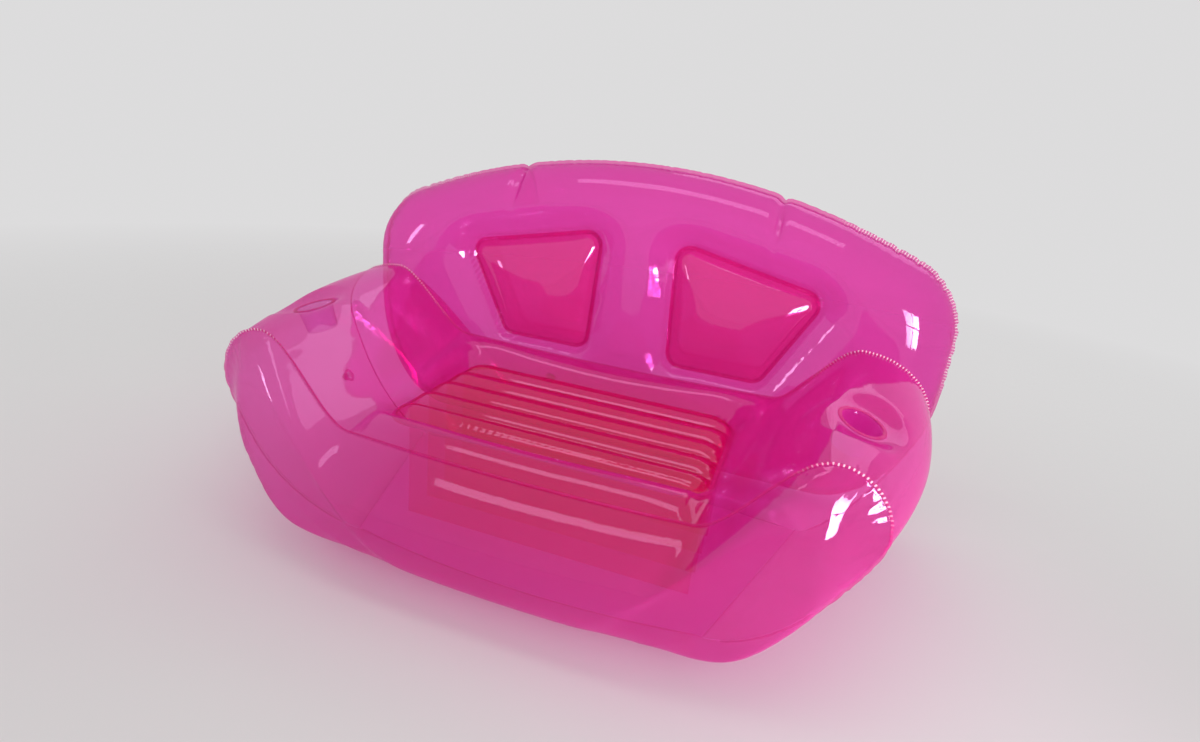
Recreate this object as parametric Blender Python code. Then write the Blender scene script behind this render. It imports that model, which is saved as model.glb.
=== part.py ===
"""Inflatable two-seater sofa: welded film panels, inner baffles, cup wells and valves.

Metres, +Z up, the front towards -Y, the floor at z = 0 under the middle of the sofa.
"""

import math

import bmesh
import bpy
from mathutils import Matrix, Vector

# Film and welds
film = 0.0005
clearance = 0.0003
weld_land = 0.010
seam_lip = 0.004
back_seam_lip = 0.008

# Seat deck, between the two arms
front_seam_y = -0.290
front_foot_y = -0.245
front_foot_end_y = -0.212
rear_seam_y = 0.285
rear_foot_y = 0.265
rear_foot_end_y = 0.235
deck_front_z = 0.253
deck_rear_z = 0.283
deck_front_crown = 0.026
deck_rear_crown = 0.012
valley_front_x = 0.315
valley_rear_x = 0.385
valley_front_z = 0.262
valley_rear_z = 0.305
valley_rear_y = 0.245

# Ribbed seat pan, welded into the deck
pan_half_x = 0.318
pan_half_y = 0.182
pan_corner = 0.055
pan_land_z = 0.250
pan_edge_rise = 0.004
rib_height = 0.020
rib_count = 5
rib_end_run = 0.045

# Arms: hump, widest point and foot, at the front and the rear seam
arm_front_hump_x = 0.500
arm_front_hump_z = 0.417
arm_front_outer_x = 0.590
arm_front_outer_z = 0.318
arm_front_foot_x = 0.362
arm_rear_hump_x = 0.545
arm_rear_hump_z = 0.462
arm_rear_outer_x = 0.692
arm_rear_outer_z = 0.340
arm_rear_foot_x = 0.500
arm_rear_y = 0.190
arm_side_bulge = 0.028
arm_crown_bulge = 0.004
arm_inner_bulge = 0.018
flank_upper_share = 0.18
flank_lower_share = 0.24
arm_turn_share = 0.62
flank_foot_share = 0.64
fullness_share = 0.8
corner_pull_share = 0.29

# Front and rear panels of the seat chamber
front_middle_bulge = 0.120
front_arm_bulge = 0.086
front_side_bulge = 0.032
rear_middle_bulge = 0.085
rear_arm_bulge = 0.085
rear_side_bulge = 0.040
panel_edge_share = 0.12
bulge_fall_share = 2.5
panel_turn_share = 0.55

# Cup wells in the arms
cup_radius = 0.035
cup_floor_radius = 0.031
cup_depth = 0.050
cup_behind_front_seam = 0.176
cup_out_share = 0.5
cup_sink = 0.014
cup_rim_width = 0.007
cup_rim_thickness = 0.0015

# Backrest
back_rim_y = 0.420
back_half_width = 0.746
back_crest_z = 0.758
back_notch_x = 0.322
back_notch_z = 0.714
back_shoulder_x = 0.640
back_shoulder_z = 0.624
back_end_top_z = 0.460
back_end_low_z = 0.355
back_foot_x = 0.520
back_foot_z = 0.020
back_front_depth = 0.100
back_rear_depth = 0.085
back_edge_width = 0.125
back_rear_edge_width = 0.100
back_contact_y = 0.335
back_contact_rise = 0.015
back_end_shares = (0.15, 0.85)
back_land_end_share = 0.7
pillow_groove_depth = 0.065
pillow_groove_width = 0.060
pillow_crown = 0.045
pillow_crown_width = 0.110
pillow_inner_top_x = 0.100
pillow_inner_top_z = 0.590
pillow_inner_low_x = 0.115
pillow_outer_top_x = 0.455
pillow_outer_top_z = 0.515
pillow_outer_low_x = 0.340
pillow_low_z = 0.292

# Inner baffles and ties
baffle_edge_gap = 0.010

# Valves, one for each air chamber
valve_flange_radius = 0.0165
valve_flange_thickness = 0.0010
valve_land_rim = 0.0020
valve_stem_radius = 0.0080
valve_bore_radius = 0.0055
valve_collar_radius = 0.0093
valve_collar_height = 0.0018
valve_neck_out = 0.0140
valve_neck_in = 0.0040
valve_cap_radius = 0.0085
valve_cap_thickness = 0.0015
valve_plug_tip_radius = 0.0044
valve_plug_length = 0.0050
valve_tab_half_width = 0.0025
valve_flap_radius = 0.0066
valve_flap_thickness = 0.0008
valve_behind_front_seam = 0.385
valve_mouth_radius = valve_stem_radius + 2 * clearance
valve_land_radius = valve_flange_radius + valve_land_rim
back_valve_x = -0.250
back_valve_z = 0.130

# How finely each sheet is divided
rise_steps = 5
crown_steps = 4
flank_steps = 5
front_rows = 8
rear_rows = 5
ring_steps = 24
pan_corner_steps = 6
bottom_steps = 12
cup_cell_count = 2
valve_cell_count = 1
valve_flank_count = 2
pillow_split_count = 2
deck_column_shares = (0.0, 1 / 3, 2 / 3)
front_apron_shares = (0.0, 0.22, 0.5, 0.78, 1.0)
rear_apron_shares = (0.0, 0.35, 0.7, 1.0)
pan_column_shares = (0.0, 0.25, 0.5, 0.75, 1.0)
rib_row_shares = (0.0, 0.2, 0.5, 0.8)
crest_inner_shares = (0.0, 0.087, 0.140, 0.153, 0.28, 0.405, 0.432, 0.459)
crest_outer_shares = (0.55, 0.64, 0.74, 0.83, 0.90, 0.955, 0.988, 1.0)
back_foot_row_shares = (0.2, 0.6)
back_crest_row_shares = (0.35, 0.8)
pillow_row_shares = (0.0, 0.25, 0.5, 0.75, 1.0)

# Colours
pink = (0.80, 0.10, 0.42)
magenta = (0.72, 0.07, 0.48)
red_pink = (0.78, 0.04, 0.26)
pale_pink = (0.90, 0.45, 0.66)
clear_pink = (0.88, 0.62, 0.76)


def material(name, colour, roughness=0.12):
    made = bpy.data.materials.new(name)
    made.use_nodes = True
    shader = made.node_tree.nodes["Principled BSDF"]
    shader.inputs["Base Color"].default_value = (*colour, 1.0)
    shader.inputs["Roughness"].default_value = roughness
    shader.inputs["Metallic"].default_value = 0.0
    made.diffuse_color = (*colour, 1.0)
    return made


def mix(a, b, share):
    return a + (b - a) * share


def ease(share):
    """Flat at both ends, steepest half way."""
    return share * share * (3 - 2 * share)


def dome(share):
    """A quarter round: steep at 0, level from 1 on."""
    share = min(max(share, 0.0), 1.0)
    return math.sqrt(1 - (1 - share) ** 2)


def puffed(share):
    """How far along the chord and how far out a point of an air-filled panel lies."""
    start = panel_edge_share * math.pi
    angle = mix(start, math.pi - start, share)
    along = (math.cos(start) - math.cos(angle)) / (2 * math.cos(start))
    out = (math.sin(angle) - math.sin(start)) / (1 - math.sin(start))
    return along, out


def bezier(a, b, c, d, share):
    rest = 1 - share
    return a * rest**3 + b * 3 * rest**2 * share + c * 3 * rest * share**2 + d * share**3


def link(bm, name, made):
    mesh = bpy.data.meshes.new(name)
    bm.to_mesh(mesh)
    bm.free()
    mesh.shade_smooth()
    mesh.set_sharp_from_angle(angle=math.radians(40))
    piece = bpy.data.objects.new(name, mesh)
    bpy.context.scene.collection.objects.link(piece)
    piece.data.materials.append(made)
    return piece


def grid(points):
    """A bmesh grid bent onto rows of points, and its vertices row by row."""
    rows = len(points)
    columns = len(points[0])
    bm = bmesh.new()
    bmesh.ops.create_grid(bm, x_segments=columns - 1, y_segments=rows - 1, size=1)
    bm.verts.ensure_lookup_table()
    verts = [[bm.verts[j * columns + i] for i in range(columns)] for j in range(rows)]
    for j in range(rows):
        for i in range(columns):
            verts[j][i].co = points[j][i]
    return bm, verts


def cut_block(bm, verts, low, high):
    """Deletes the cells between two corners, given as (row, column); returns the hole's vertices."""
    inside = set()
    for j in range(low[0], high[0] + 1):
        for i in range(low[1], high[1] + 1):
            inside.add(verts[j][i])
    cells = [face for face in bm.faces if all(vert in inside for vert in face.verts)]
    bmesh.ops.delete(bm, geom=cells, context="FACES")
    return [vert for vert in inside if vert.is_valid]


def face_out(bm, outward):
    """Turns the faces so that the sheet's first face looks along outward."""
    bmesh.ops.recalc_face_normals(bm, faces=bm.faces)
    total = sum((face.normal * face.calc_area() for face in bm.faces), Vector())
    if total.dot(Vector(outward)) < 0:
        bmesh.ops.reverse_faces(bm, faces=bm.faces)


def film_sheet(bm, name, made, outward):
    """Makes a bent grid a film, whose outer side is the grid."""
    face_out(bm, outward)
    sheet = link(bm, name, made)
    wall = sheet.modifiers.new("film", "SOLIDIFY")
    wall.thickness = film
    wall.offset = -1
    return sheet


# Outline of the seat chamber


def arm_profile(valley, hump, outer, foot):
    """Points of one arm's section, after its inner foot and out to its outer foot."""
    points = []
    for k in range(1, rise_steps + 1):
        share = k / rise_steps
        points.append(Vector((mix(valley.x, hump.x, share), mix(valley.y, hump.y, ease(share)))))
    for k in range(1, crown_steps + 1):
        turn = k / crown_steps * math.pi / 2
        x = hump.x + (outer.x - hump.x) * math.sin(turn)
        z = outer.y + (hump.y - outer.y) * math.cos(turn)
        points.append(Vector((x, z)))
    upper = Vector((outer.x, mix(outer.y, foot.y, flank_upper_share)))
    lower = Vector((mix(foot.x, outer.x, flank_lower_share), foot.y))
    for k in range(1, flank_steps + 1):
        points.append(bezier(outer, upper, lower, foot, k / flank_steps))
    return points


foot_z = film + clearance
deck_x_list = [share * pan_half_x for share in deck_column_shares]
deck_x_list += [pan_half_x - pan_corner, pan_half_x, pan_half_x + weld_land]
deck_mid_valley_x = (valley_front_x + valley_rear_x) / 2
deck_count = len(deck_x_list)
rise_end = deck_count + rise_steps
crown_end = rise_end + crown_steps
half_count = deck_count + 1 + rise_steps + crown_steps + flank_steps


def half_section(valley, hump, outer, foot, middle_z):
    """Points (x, z) of a section from the middle of the deck out to the arm's foot."""
    points = []
    for x in deck_x_list:
        share = x / deck_mid_valley_x
        points.append(Vector((share * valley.x, mix(middle_z, valley.y, share * share))))
    points.append(valley)
    return points + arm_profile(valley, hump, outer, foot)


front_half = half_section(
    Vector((valley_front_x, valley_front_z)),
    Vector((arm_front_hump_x, arm_front_hump_z)),
    Vector((arm_front_outer_x, arm_front_outer_z)),
    Vector((arm_front_foot_x, foot_z)),
    deck_front_z,
)
rear_half = half_section(
    Vector((valley_rear_x, valley_rear_z)),
    Vector((arm_rear_hump_x, arm_rear_hump_z)),
    Vector((arm_rear_outer_x, arm_rear_outer_z)),
    Vector((arm_rear_foot_x, foot_z)),
    deck_rear_z,
)


def tuck(z, top, low, level):
    """The seam keeps to top until it drops below the given level, then sweeps to low at the floor."""
    share = max(0.0, 1 - z / level)
    return mix(top, low, share * share)


def front_seam(k):
    point = front_half[k]
    y = tuck(point.y, front_seam_y, front_foot_end_y, arm_front_outer_z * arm_turn_share)
    return Vector((point.x, y, point.y))


def rear_seam(k):
    point = rear_half[k]
    if k <= deck_count:
        share = point.x / valley_rear_x
        y = mix(rear_seam_y, valley_rear_y, share * share)
    else:
        share = min((k - deck_count) / rise_steps, 1.0)
        y = mix(valley_rear_y, arm_rear_y, ease(share))
        y = tuck(point.y, y, rear_foot_end_y, arm_rear_outer_z * arm_turn_share)
    return Vector((point.x, y, point.y))


def both_sides(half):
    """A full row of points from the half right of the middle."""
    left = [Vector((-p.x, p.y, p.z)) for p in reversed(half[1:])]
    return left + list(half)


front_line = both_sides([front_seam(k) for k in range(half_count)])
rear_line = both_sides([rear_seam(k) for k in range(half_count)])
middle = half_count - 1

# Rows of the deck, from the front seam to the rear one
pan_rows_y = [-pan_half_y, -(pan_half_y - pan_corner), 0.0, pan_half_y - pan_corner, pan_half_y]
first_land_row = len(front_apron_shares) - 1
first_pan_row = first_land_row + 1
last_land_row = first_pan_row + len(pan_rows_y)
row_count = last_land_row + len(rear_apron_shares)
land_columns = (middle - (deck_count - 1), middle + (deck_count - 1))


def deck_y(row, front_y, rear_y):
    land = pan_half_y + weld_land
    if row <= first_land_row:
        return mix(front_y, -land, front_apron_shares[row])
    if row >= last_land_row:
        return mix(land, rear_y, rear_apron_shares[row - last_land_row])
    return pan_rows_y[row - first_pan_row]


def deck_crown(row):
    if row < first_land_row:
        return deck_front_crown * math.sin(math.pi * front_apron_shares[row])
    if row > last_land_row:
        return deck_rear_crown * math.sin(math.pi * rear_apron_shares[row - last_land_row])
    return 0.0


def section_normal(line, k):
    tangent = line[min(k + 1, len(line) - 1)] - line[max(k - 1, 0)]
    return Vector((-tangent.z, 0.0, tangent.x)).normalized()


def arm_bulge(k):
    """The film's fullness between its seams, at column k of the half section."""
    if k <= deck_count:
        return 0.0
    if k <= rise_end:
        share = (k - deck_count) / rise_steps
        return mix(arm_inner_bulge, arm_crown_bulge, share) * ease(min(2 * share, 1.0))
    if k <= crown_end:
        return mix(arm_crown_bulge, arm_side_bulge, (k - rise_end) / crown_steps)
    return arm_side_bulge * (1 - ease((k - crown_end) / flank_steps))


def wrap_point(row, column):
    """A point of the film that runs over the deck and both arms."""
    k = abs(column - middle)
    side = -1 if column < middle else 1
    front = front_line[column] + Vector((0, film + clearance, 0))
    rear = rear_line[column] - Vector((0, film + clearance, 0))
    valley = middle + side * deck_count
    valley_front = front_line[valley] + Vector((0, film + clearance, 0))
    valley_rear = rear_line[valley] - Vector((0, film + clearance, 0))
    if k <= deck_count:
        y = deck_y(row, front.y, rear.y)
        share = (y - front.y) / (rear.y - front.y)
        point = mix(front, rear, share)
        inner = first_land_row <= row <= last_land_row
        if inner and k < deck_count:
            point.x = side * deck_x_list[k]
        point.z += deck_crown(row) * (1 - (k / deck_count) ** 4)
        if inner and k < deck_count:
            point.z = pan_land_z
        return point
    valley_y = deck_y(row, valley_front.y, valley_rear.y)
    valley_share = (valley_y - valley_front.y) / (valley_rear.y - valley_front.y)
    even_share = row / (row_count - 1)
    share = mix(valley_share, even_share, min((k - deck_count) / rise_steps, 1.0))
    point = mix(front, rear, share)
    out = section_normal(front_line, column) + section_normal(rear_line, column)
    return point + out.normalized() * arm_bulge(k) * math.sin(math.pi * share) ** fullness_share


def round_corner(points, rows, columns, centre_pull):
    """Draws the four corner points of a loop of cells in, so that it has round corners."""
    for row, row_side in zip(rows, (1, -1)):
        for column, column_side in zip(columns, (1, -1)):
            points[row][column].x += column_side * centre_pull
            points[row][column].y += row_side * centre_pull


def wrap_points():
    points = [
        [wrap_point(row, column) for column in range(2 * half_count - 1)]
        for row in range(row_count)
    ]
    pull = corner_pull_share * pan_corner
    round_corner(points, (first_land_row, last_land_row), land_columns, pull)
    for row in points:
        first, last = row[0], row[-1]
        row.insert(0, first + Vector((weld_land, 0, 0)))
        row.append(last - Vector((weld_land, 0, 0)))
    return points


def port_place(points, column, behind_seam, sink, edge_rows):
    """A flat place on an arm: its middle, its axis, and the grid point nearest to it."""
    target = front_seam_y + behind_seam
    rows = range(edge_rows, row_count - edge_rows)
    row = min(rows, key=lambda j: abs(points[j][column].y - target))
    along = points[row + 1][column] - points[row - 1][column]
    across = points[row][column + 1] - points[row][column - 1]
    centre = points[row][column] + along * (target - points[row][column].y) / along.y
    axis = across.cross(along).normalized()
    return centre - axis * sink, axis, row, column


def cup_place(points, side):
    """Between the hump's column and the next one out, and leaning outwards with that one."""
    column = middle + 1 + side * (rise_end + 1)
    outer = port_place(points, column, cup_behind_front_seam, cup_sink, cup_cell_count + 1)
    inner = port_place(points, column - side, cup_behind_front_seam, cup_sink, cup_cell_count + 1)
    return mix(inner[0], outer[0], cup_out_share), outer[1], outer[2], outer[3]


def valve_place(points):
    column = middle + 1 - (crown_end + valve_flank_count)
    return port_place(points, column, valve_behind_front_seam, 0.0, valve_cell_count)


def axis_frame(centre, axis):
    """A matrix whose Z is the axis and whose Y leans as near to the rear as it can."""
    lean = Vector((0, 1, 0)) if abs(axis.y) < abs(axis.z) + abs(axis.x) else Vector((0, 0, 1))
    across = lean.cross(axis).normalized()
    along = axis.cross(across)
    turned = Matrix((across, along, axis)).transposed().to_4x4()
    return Matrix.Translation(centre) @ turned


def ring(bm, points):
    """A closed loop of new vertices."""
    return [bm.verts.new(point) for point in points]


def circle_points(frame, radius):
    turns = [math.tau * k / ring_steps for k in range(ring_steps)]
    return [frame @ Vector((radius * math.cos(a), radius * math.sin(a), 0)) for a in turns]


def by_turn(verts, frame):
    """A loop's vertices in order round the frame's Z axis, with their angles, and the first again."""
    back = frame.inverted()
    placed = []
    for vert in verts:
        spot = back @ vert.co
        placed.append((math.atan2(spot.y, spot.x), vert))
    placed.sort(key=lambda item: item[0])
    return [*placed, (placed[0][0] + math.tau, placed[0][1])]


def zip_loops(bm, outer, inner, frame):
    """Fills the band between two loops round the frame's Z axis, whatever their counts."""
    loops = [by_turn(outer, frame), by_turn(inner, frame)]
    at = [0, 0]
    while at[0] < len(loops[0]) - 1 or at[1] < len(loops[1]) - 1:
        gaps = [math.inf, math.inf]
        for side in (0, 1):
            if at[side] < len(loops[side]) - 1:
                other = loops[1 - side][at[1 - side]]
                gaps[side] = abs(loops[side][at[side] + 1][0] - other[0])
        side = gaps.index(min(gaps))
        ahead = loops[side][at[side] + 1][1]
        bm.faces.new((loops[0][at[0]][1], ahead, loops[1][at[1]][1]))
        at[side] += 1


def open_port(bm, verts, place, cell_count, mouth_radius, land_radius):
    """Opens a round mouth with a flat land round it, in place of a block of cells."""
    centre, axis, row, column = place
    low = (row - cell_count, column - cell_count)
    high = (row + cell_count, column + cell_count)
    frame = axis_frame(centre, axis)
    hole = cut_block(bm, verts, low, high)
    land = ring(bm, circle_points(frame, land_radius))
    mouth = ring(bm, circle_points(frame, mouth_radius))
    zip_loops(bm, hole, land, frame)
    zip_loops(bm, land, mouth, frame)


def seat_and_arm_wrap(points, cups, valve_port, made):
    bm, verts = grid(points)
    low = (first_land_row, land_columns[0] + 1)
    high = (last_land_row, land_columns[1] + 1)
    hole = cut_block(bm, verts, low, high)
    edge = ring(bm, pan_ring(0.0, pan_land_z))
    zip_loops(bm, hole, edge, Matrix.Identity(4))
    for place in cups:
        open_port(bm, verts, place, cup_cell_count, cup_radius, cup_radius + weld_land)
    open_port(bm, verts, valve_port, valve_cell_count, valve_mouth_radius, valve_land_radius)
    return film_sheet(bm, "seat_and_arm_wrap", made, (0, 0, 1))


def foot_line(half_x, middle_y, end_y, shares):
    """The lower edge of the front or rear panel, bowed out at its middle."""
    points = []
    for share in shares:
        y = mix(middle_y, end_y, share * share)
        points.append(Vector((share * half_x, y, foot_z)))
    return points


def foot_shares(line):
    """Where along its lower edge, from -1 to 1, each column of a panel ends."""
    shares = []
    widest = line[middle + crown_end].x
    for column, point in enumerate(line):
        k = abs(column - middle)
        share = flank_foot_share * abs(point.x) / widest
        if k > crown_end:
            share = mix(flank_foot_share, 1.0, (k - crown_end) / flank_steps)
        shares.append(math.copysign(share, point.x))
    return shares


def bulge_at(x, line, bulges):
    """How far a panel stands out at x: at the middle, at an arm's hump and at its side."""
    hump_x = line[middle + rise_end].x
    side_x = line[middle + crown_end].x
    x = abs(x)
    if x < hump_x:
        return mix(bulges[0], bulges[1], ease((x / hump_x) ** bulge_fall_share))
    return mix(bulges[1], bulges[2], ease(min((x - hump_x) / (side_x - hump_x), 1.0)))


def rear_limit(point):
    """The base's rear panel lies flat against the back of the sofa."""
    return min(point.y, back_contact_y - film - 2 * clearance)


def panel_between(line, foot_ys, bulges, step, rows, name, made, limit=None):
    """The front or rear panel: puffed out from the seam and tucked under to the bottom panel."""
    full_z = panel_turn_share * line[middle].z
    foot_x = line[-1].x - weld_land - 3 * clearance
    if step > 0:
        narrowing = (arm_rear_foot_x - arm_front_foot_x) / (rear_seam_y - front_seam_y)
        foot_x -= narrowing * (rear_seam_y - foot_ys[1] + weld_land)
    feet = foot_line(foot_x, foot_ys[0], foot_ys[1], foot_shares(line))
    points = []
    for row in range(rows + 1):
        along, out = puffed(row / rows)
        if 2 * row > rows:
            out = 1.0
        row_points = []
        for k in range(len(line)):
            start = line[k] + Vector((0, step * (film + clearance), 0))
            point = mix(start, feet[k], along)
            reach = min((start - feet[k]).length / line[middle].z, 1.0)
            under = dome(min(max(point.z - foot_z, 0.0) / full_z, 1.0))
            point.y += step * bulge_at(point.x, line, bulges) * out * under * reach
            if limit:
                point.y = limit(point)
            row_points.append(point)
        points.append(row_points)
    points.append([foot - Vector((0, step * weld_land, 0)) for foot in feet])
    bm, _ = grid(points)
    return film_sheet(bm, name, made, (0, step, 0))


def seam_ribbon(points, normals, lip, name, made, closed=False):
    """A flat weld lip along a seam, with its edge on the seam and its width outwards."""
    bm = bmesh.new()
    inner = [bm.verts.new(p + Vector((0, film, 0))) for p in points]
    for k in range(len(points) - (0 if closed else 1)):
        bm.edges.new((inner[k], inner[(k + 1) % len(points)]))
    made_edges = list(bm.edges)
    grown = bmesh.ops.extrude_edge_only(bm, edges=made_edges)
    outer = [item for item in grown["geom"] if isinstance(item, bmesh.types.BMVert)]
    for vert in outer:
        near = min(range(len(points)), key=lambda k: (inner[k].co - vert.co).length)
        vert.co += normals[near] * lip
    bmesh.ops.recalc_face_normals(bm, faces=bm.faces)
    total = sum((face.normal for face in bm.faces), Vector())
    if total.y < 0:
        bmesh.ops.reverse_faces(bm, faces=bm.faces)
    ribbon = link(bm, name, made)
    wall = ribbon.modifiers.new("lip", "SOLIDIFY")
    wall.thickness = 2 * film
    wall.offset = -1
    return ribbon


def line_normals(line, closed=False):
    """Outward normals in the XZ plane of a line that runs from left to right over the top."""
    count = len(line)
    normals = []
    for k in range(count):
        before = line[(k - 1) % count] if closed else line[max(k - 1, 0)]
        after = line[(k + 1) % count] if closed else line[min(k + 1, count - 1)]
        tangent = after - before
        normals.append(Vector((-tangent.z, 0, tangent.x)).normalized())
    return normals


def open_seam(line, lip, name, made):
    normals = line_normals(line)
    kept = [k for k, p in enumerate(line) if (p + normals[k] * lip).z > weld_land]
    return seam_ribbon([line[k] for k in kept], [normals[k] for k in kept], lip, name, made)


def bottom_panel(made):
    """The flat panel that the sofa stands on: its underside is the floor plane."""
    shares = [mix(-1, 1, k / bottom_steps) for k in range(bottom_steps + 1)]
    front = foot_line(arm_front_foot_x, front_foot_y, front_foot_end_y, shares)
    rear = foot_line(arm_rear_foot_x, rear_foot_y, rear_foot_end_y, shares)
    points = [[Vector((p.x, p.y, film)) for p in line] for line in (front, rear)]
    bm, _ = grid(points)
    return film_sheet(bm, "bottom_panel", made, (0, 0, 1))


# Seat pan, its ribs and baffles


pan_flange_z = pan_land_z - film - clearance
rib_pitch = 2 * pan_half_y / rib_count


def pan_xs():
    """Where the pan's columns lie, all inside its opening."""
    run_start = pan_half_x - rib_end_run
    right = [share * run_start for share in pan_column_shares]
    right += [pan_half_x - rib_end_run / 2, pan_half_x - rib_end_run / 6]
    return [-x for x in reversed(right[1:])] + right


def pan_ys():
    starts = [-pan_half_y + rib * rib_pitch for rib in range(rib_count)]
    ys = [start + share * rib_pitch for start in starts for share in rib_row_shares]
    return ys[1:]


def pan_ring(beyond, z):
    """The pan's rounded outline, so far beyond its opening, in order round it."""
    corner = pan_corner + beyond
    straight_x = pan_half_x - pan_corner
    straight_y = pan_half_y - pan_corner
    xs = [x for x in pan_xs() if abs(x) < straight_x - weld_land]
    ys = [y for y in pan_ys() if abs(y) < straight_y - weld_land]
    sides = [
        [(straight_x + corner, y) for y in ys],
        [(x, straight_y + corner) for x in reversed(xs)],
        [(-straight_x - corner, y) for y in reversed(ys)],
        [(x, -straight_y - corner) for x in xs],
    ]
    signs = ((1, 1), (-1, 1), (-1, -1), (1, -1))
    spots = []
    for quarter, (side, sign) in enumerate(zip(sides, signs)):
        spots += side
        for step in range(pan_corner_steps + 1):
            angle = (quarter + step / pan_corner_steps) * math.pi / 2
            spots.append(
                (
                    sign[0] * straight_x + corner * math.cos(angle),
                    sign[1] * straight_y + corner * math.sin(angle),
                )
            )
    return [Vector((x, y, z)) for x, y in spots]


def pan_rib_z(x, y):
    """Height of the ribbed pan at a point inside its opening."""
    share = (y + pan_half_y) / rib_pitch % 1.0
    end = dome((pan_half_x - abs(x)) / rib_end_run)
    rib = rib_height * math.sin(math.pi * share) ** fullness_share
    return pan_flange_z + end * (pan_edge_rise + rib)


def seat_pan(made):
    points = [[Vector((x, y, pan_rib_z(x, y))) for x in pan_xs()] for y in pan_ys()]
    pull = corner_pull_share * pan_corner
    round_corner(points, (0, -1), (0, -1), pull)
    bm, _ = grid(points)
    edge = ring(bm, pan_ring(0.0, pan_flange_z))
    rim = ring(bm, pan_ring(weld_land - clearance, pan_flange_z))
    border = [vert for vert in bm.verts if vert.is_boundary and vert.link_edges]
    zip_loops(bm, border, edge, Matrix.Identity(4))
    zip_loops(bm, edge, rim, Matrix.Identity(4))
    return film_sheet(bm, "seat_pan", made, (0, 0, 1))


def upright_film(name, outline, made):
    """A flat film through an outline of points, as thick on both sides of it."""
    bm = bmesh.new()
    bm.faces.new([bm.verts.new(p) for p in outline])
    piece = link(bm, name, made)
    wall = piece.modifiers.new("film", "SOLIDIFY")
    wall.thickness = film
    wall.offset = 0
    return piece


def seat_baffles(made):
    half = pan_half_x - rib_end_run - baffle_edge_gap
    top = pan_flange_z + pan_edge_rise - film - clearance
    low = film + clearance
    for number in range(1, rib_count):
        y = -pan_half_y + number * rib_pitch
        corners = [(-half, low), (half, low), (half, top), (-half, top)]
        outline = [Vector((x, y, z)) for x, z in corners]
        upright_film(f"seat_baffle_{number}", outline, made)


# Cup wells


def turned(name, profile, frame, made, origin=(0, 0, 0)):
    """A solid turned round the frame's Z from a closed profile of (radius, height)."""
    bm = bmesh.new()
    verts = [bm.verts.new((r, 0, h)) for r, h in profile]
    edges = [bm.edges.new((verts[k], verts[k + 1])) for k in range(len(verts) - 1)]
    if profile[0][0] > 0:
        edges.append(bm.edges.new((verts[-1], verts[0])))
    bmesh.ops.spin(
        bm,
        geom=verts + edges,
        cent=(0, 0, 0),
        axis=(0, 0, 1),
        angle=math.tau,
        steps=ring_steps,
        use_merge=True,
    )
    bmesh.ops.remove_doubles(bm, verts=bm.verts, dist=film / 100)
    bmesh.ops.recalc_face_normals(bm, faces=bm.faces)
    bmesh.ops.translate(bm, vec=-Vector(origin), verts=bm.verts)
    piece = link(bm, name, made)
    piece.matrix_world = frame @ Matrix.Translation(origin)
    return piece


def cup_well(side, centre, axis, made):
    frame = axis_frame(centre, axis)
    top = -film - clearance
    low = top - cup_depth
    profile = [
        (0, low),
        (cup_floor_radius - film, low),
        (cup_radius - film, top),
        (cup_radius + weld_land - clearance, top),
        (cup_radius + weld_land - clearance, top - film),
        (cup_radius, top - film),
        (cup_floor_radius, low - film),
        (0, low - film),
    ]
    turned(f"{side}_cup_well", profile, frame, made)


def cup_rim(side, centre, axis, made):
    frame = axis_frame(centre, axis)
    profile = [
        (cup_radius, clearance),
        (cup_radius + cup_rim_width, clearance),
        (cup_radius + cup_rim_width - cup_rim_thickness, clearance + cup_rim_thickness),
        (cup_radius + cup_rim_thickness, clearance + cup_rim_thickness),
    ]
    turned(f"{side}_cup_rim", profile, frame, made)


# Backrest


def crest_point(k):
    """A point of the crest's outline, at column k right of the middle."""
    share = crest_shares[k]
    x = share * back_half_width
    if k == notch_column:
        return Vector((back_notch_x, back_notch_z))
    arch = back_shoulder_z + (back_crest_z - back_shoulder_z) * (1 - (x / back_shoulder_x) ** 2)
    if x <= back_shoulder_x:
        return Vector((x, arch))
    turn = math.asin((x - back_shoulder_x) / (back_half_width - back_shoulder_x))
    slope = 2 * (back_crest_z - back_shoulder_z) / back_shoulder_x
    round_drop = back_shoulder_z - back_end_top_z - slope * (back_half_width - back_shoulder_x)
    fall = slope * (x - back_shoulder_x) + round_drop * (1 - math.cos(turn))
    return Vector((x, back_shoulder_z - fall))


def foot_point(k):
    """A point of the lower outline, at column k right of the middle."""
    share = k / (len(crest_shares) - 1)
    x = share * back_half_width
    if x <= back_foot_x:
        return Vector((x, back_foot_z))
    turn = math.asin(min((x - back_foot_x) / (back_half_width - back_foot_x), 1.0))
    return Vector((x, mix(back_end_low_z, back_foot_z, math.cos(turn))))


crest_shares = crest_inner_shares + crest_outer_shares
notch_column = len(crest_inner_shares) - 2
pillow_columns = (3, 4, 5, 6, 7)
pillow_rows = (4, 5, 6, 7, 8)
last_back_row = pillow_rows[-1] + len(back_crest_row_shares) + 2
pillow_corners = {
    "inner_top": Vector((pillow_inner_top_x, pillow_inner_top_z)),
    "outer_top": Vector((pillow_outer_top_x, pillow_outer_top_z)),
    "inner_low": Vector((pillow_inner_low_x, pillow_low_z)),
    "outer_low": Vector((pillow_outer_low_x, pillow_low_z)),
}


def pillow_point(across, up):
    """A point of the pillow's outline plane: across from the inner side, up from the low side."""
    low = mix(pillow_corners["inner_low"], pillow_corners["outer_low"], across)
    top = mix(pillow_corners["inner_top"], pillow_corners["outer_top"], across)
    return mix(low, top, up)


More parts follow.
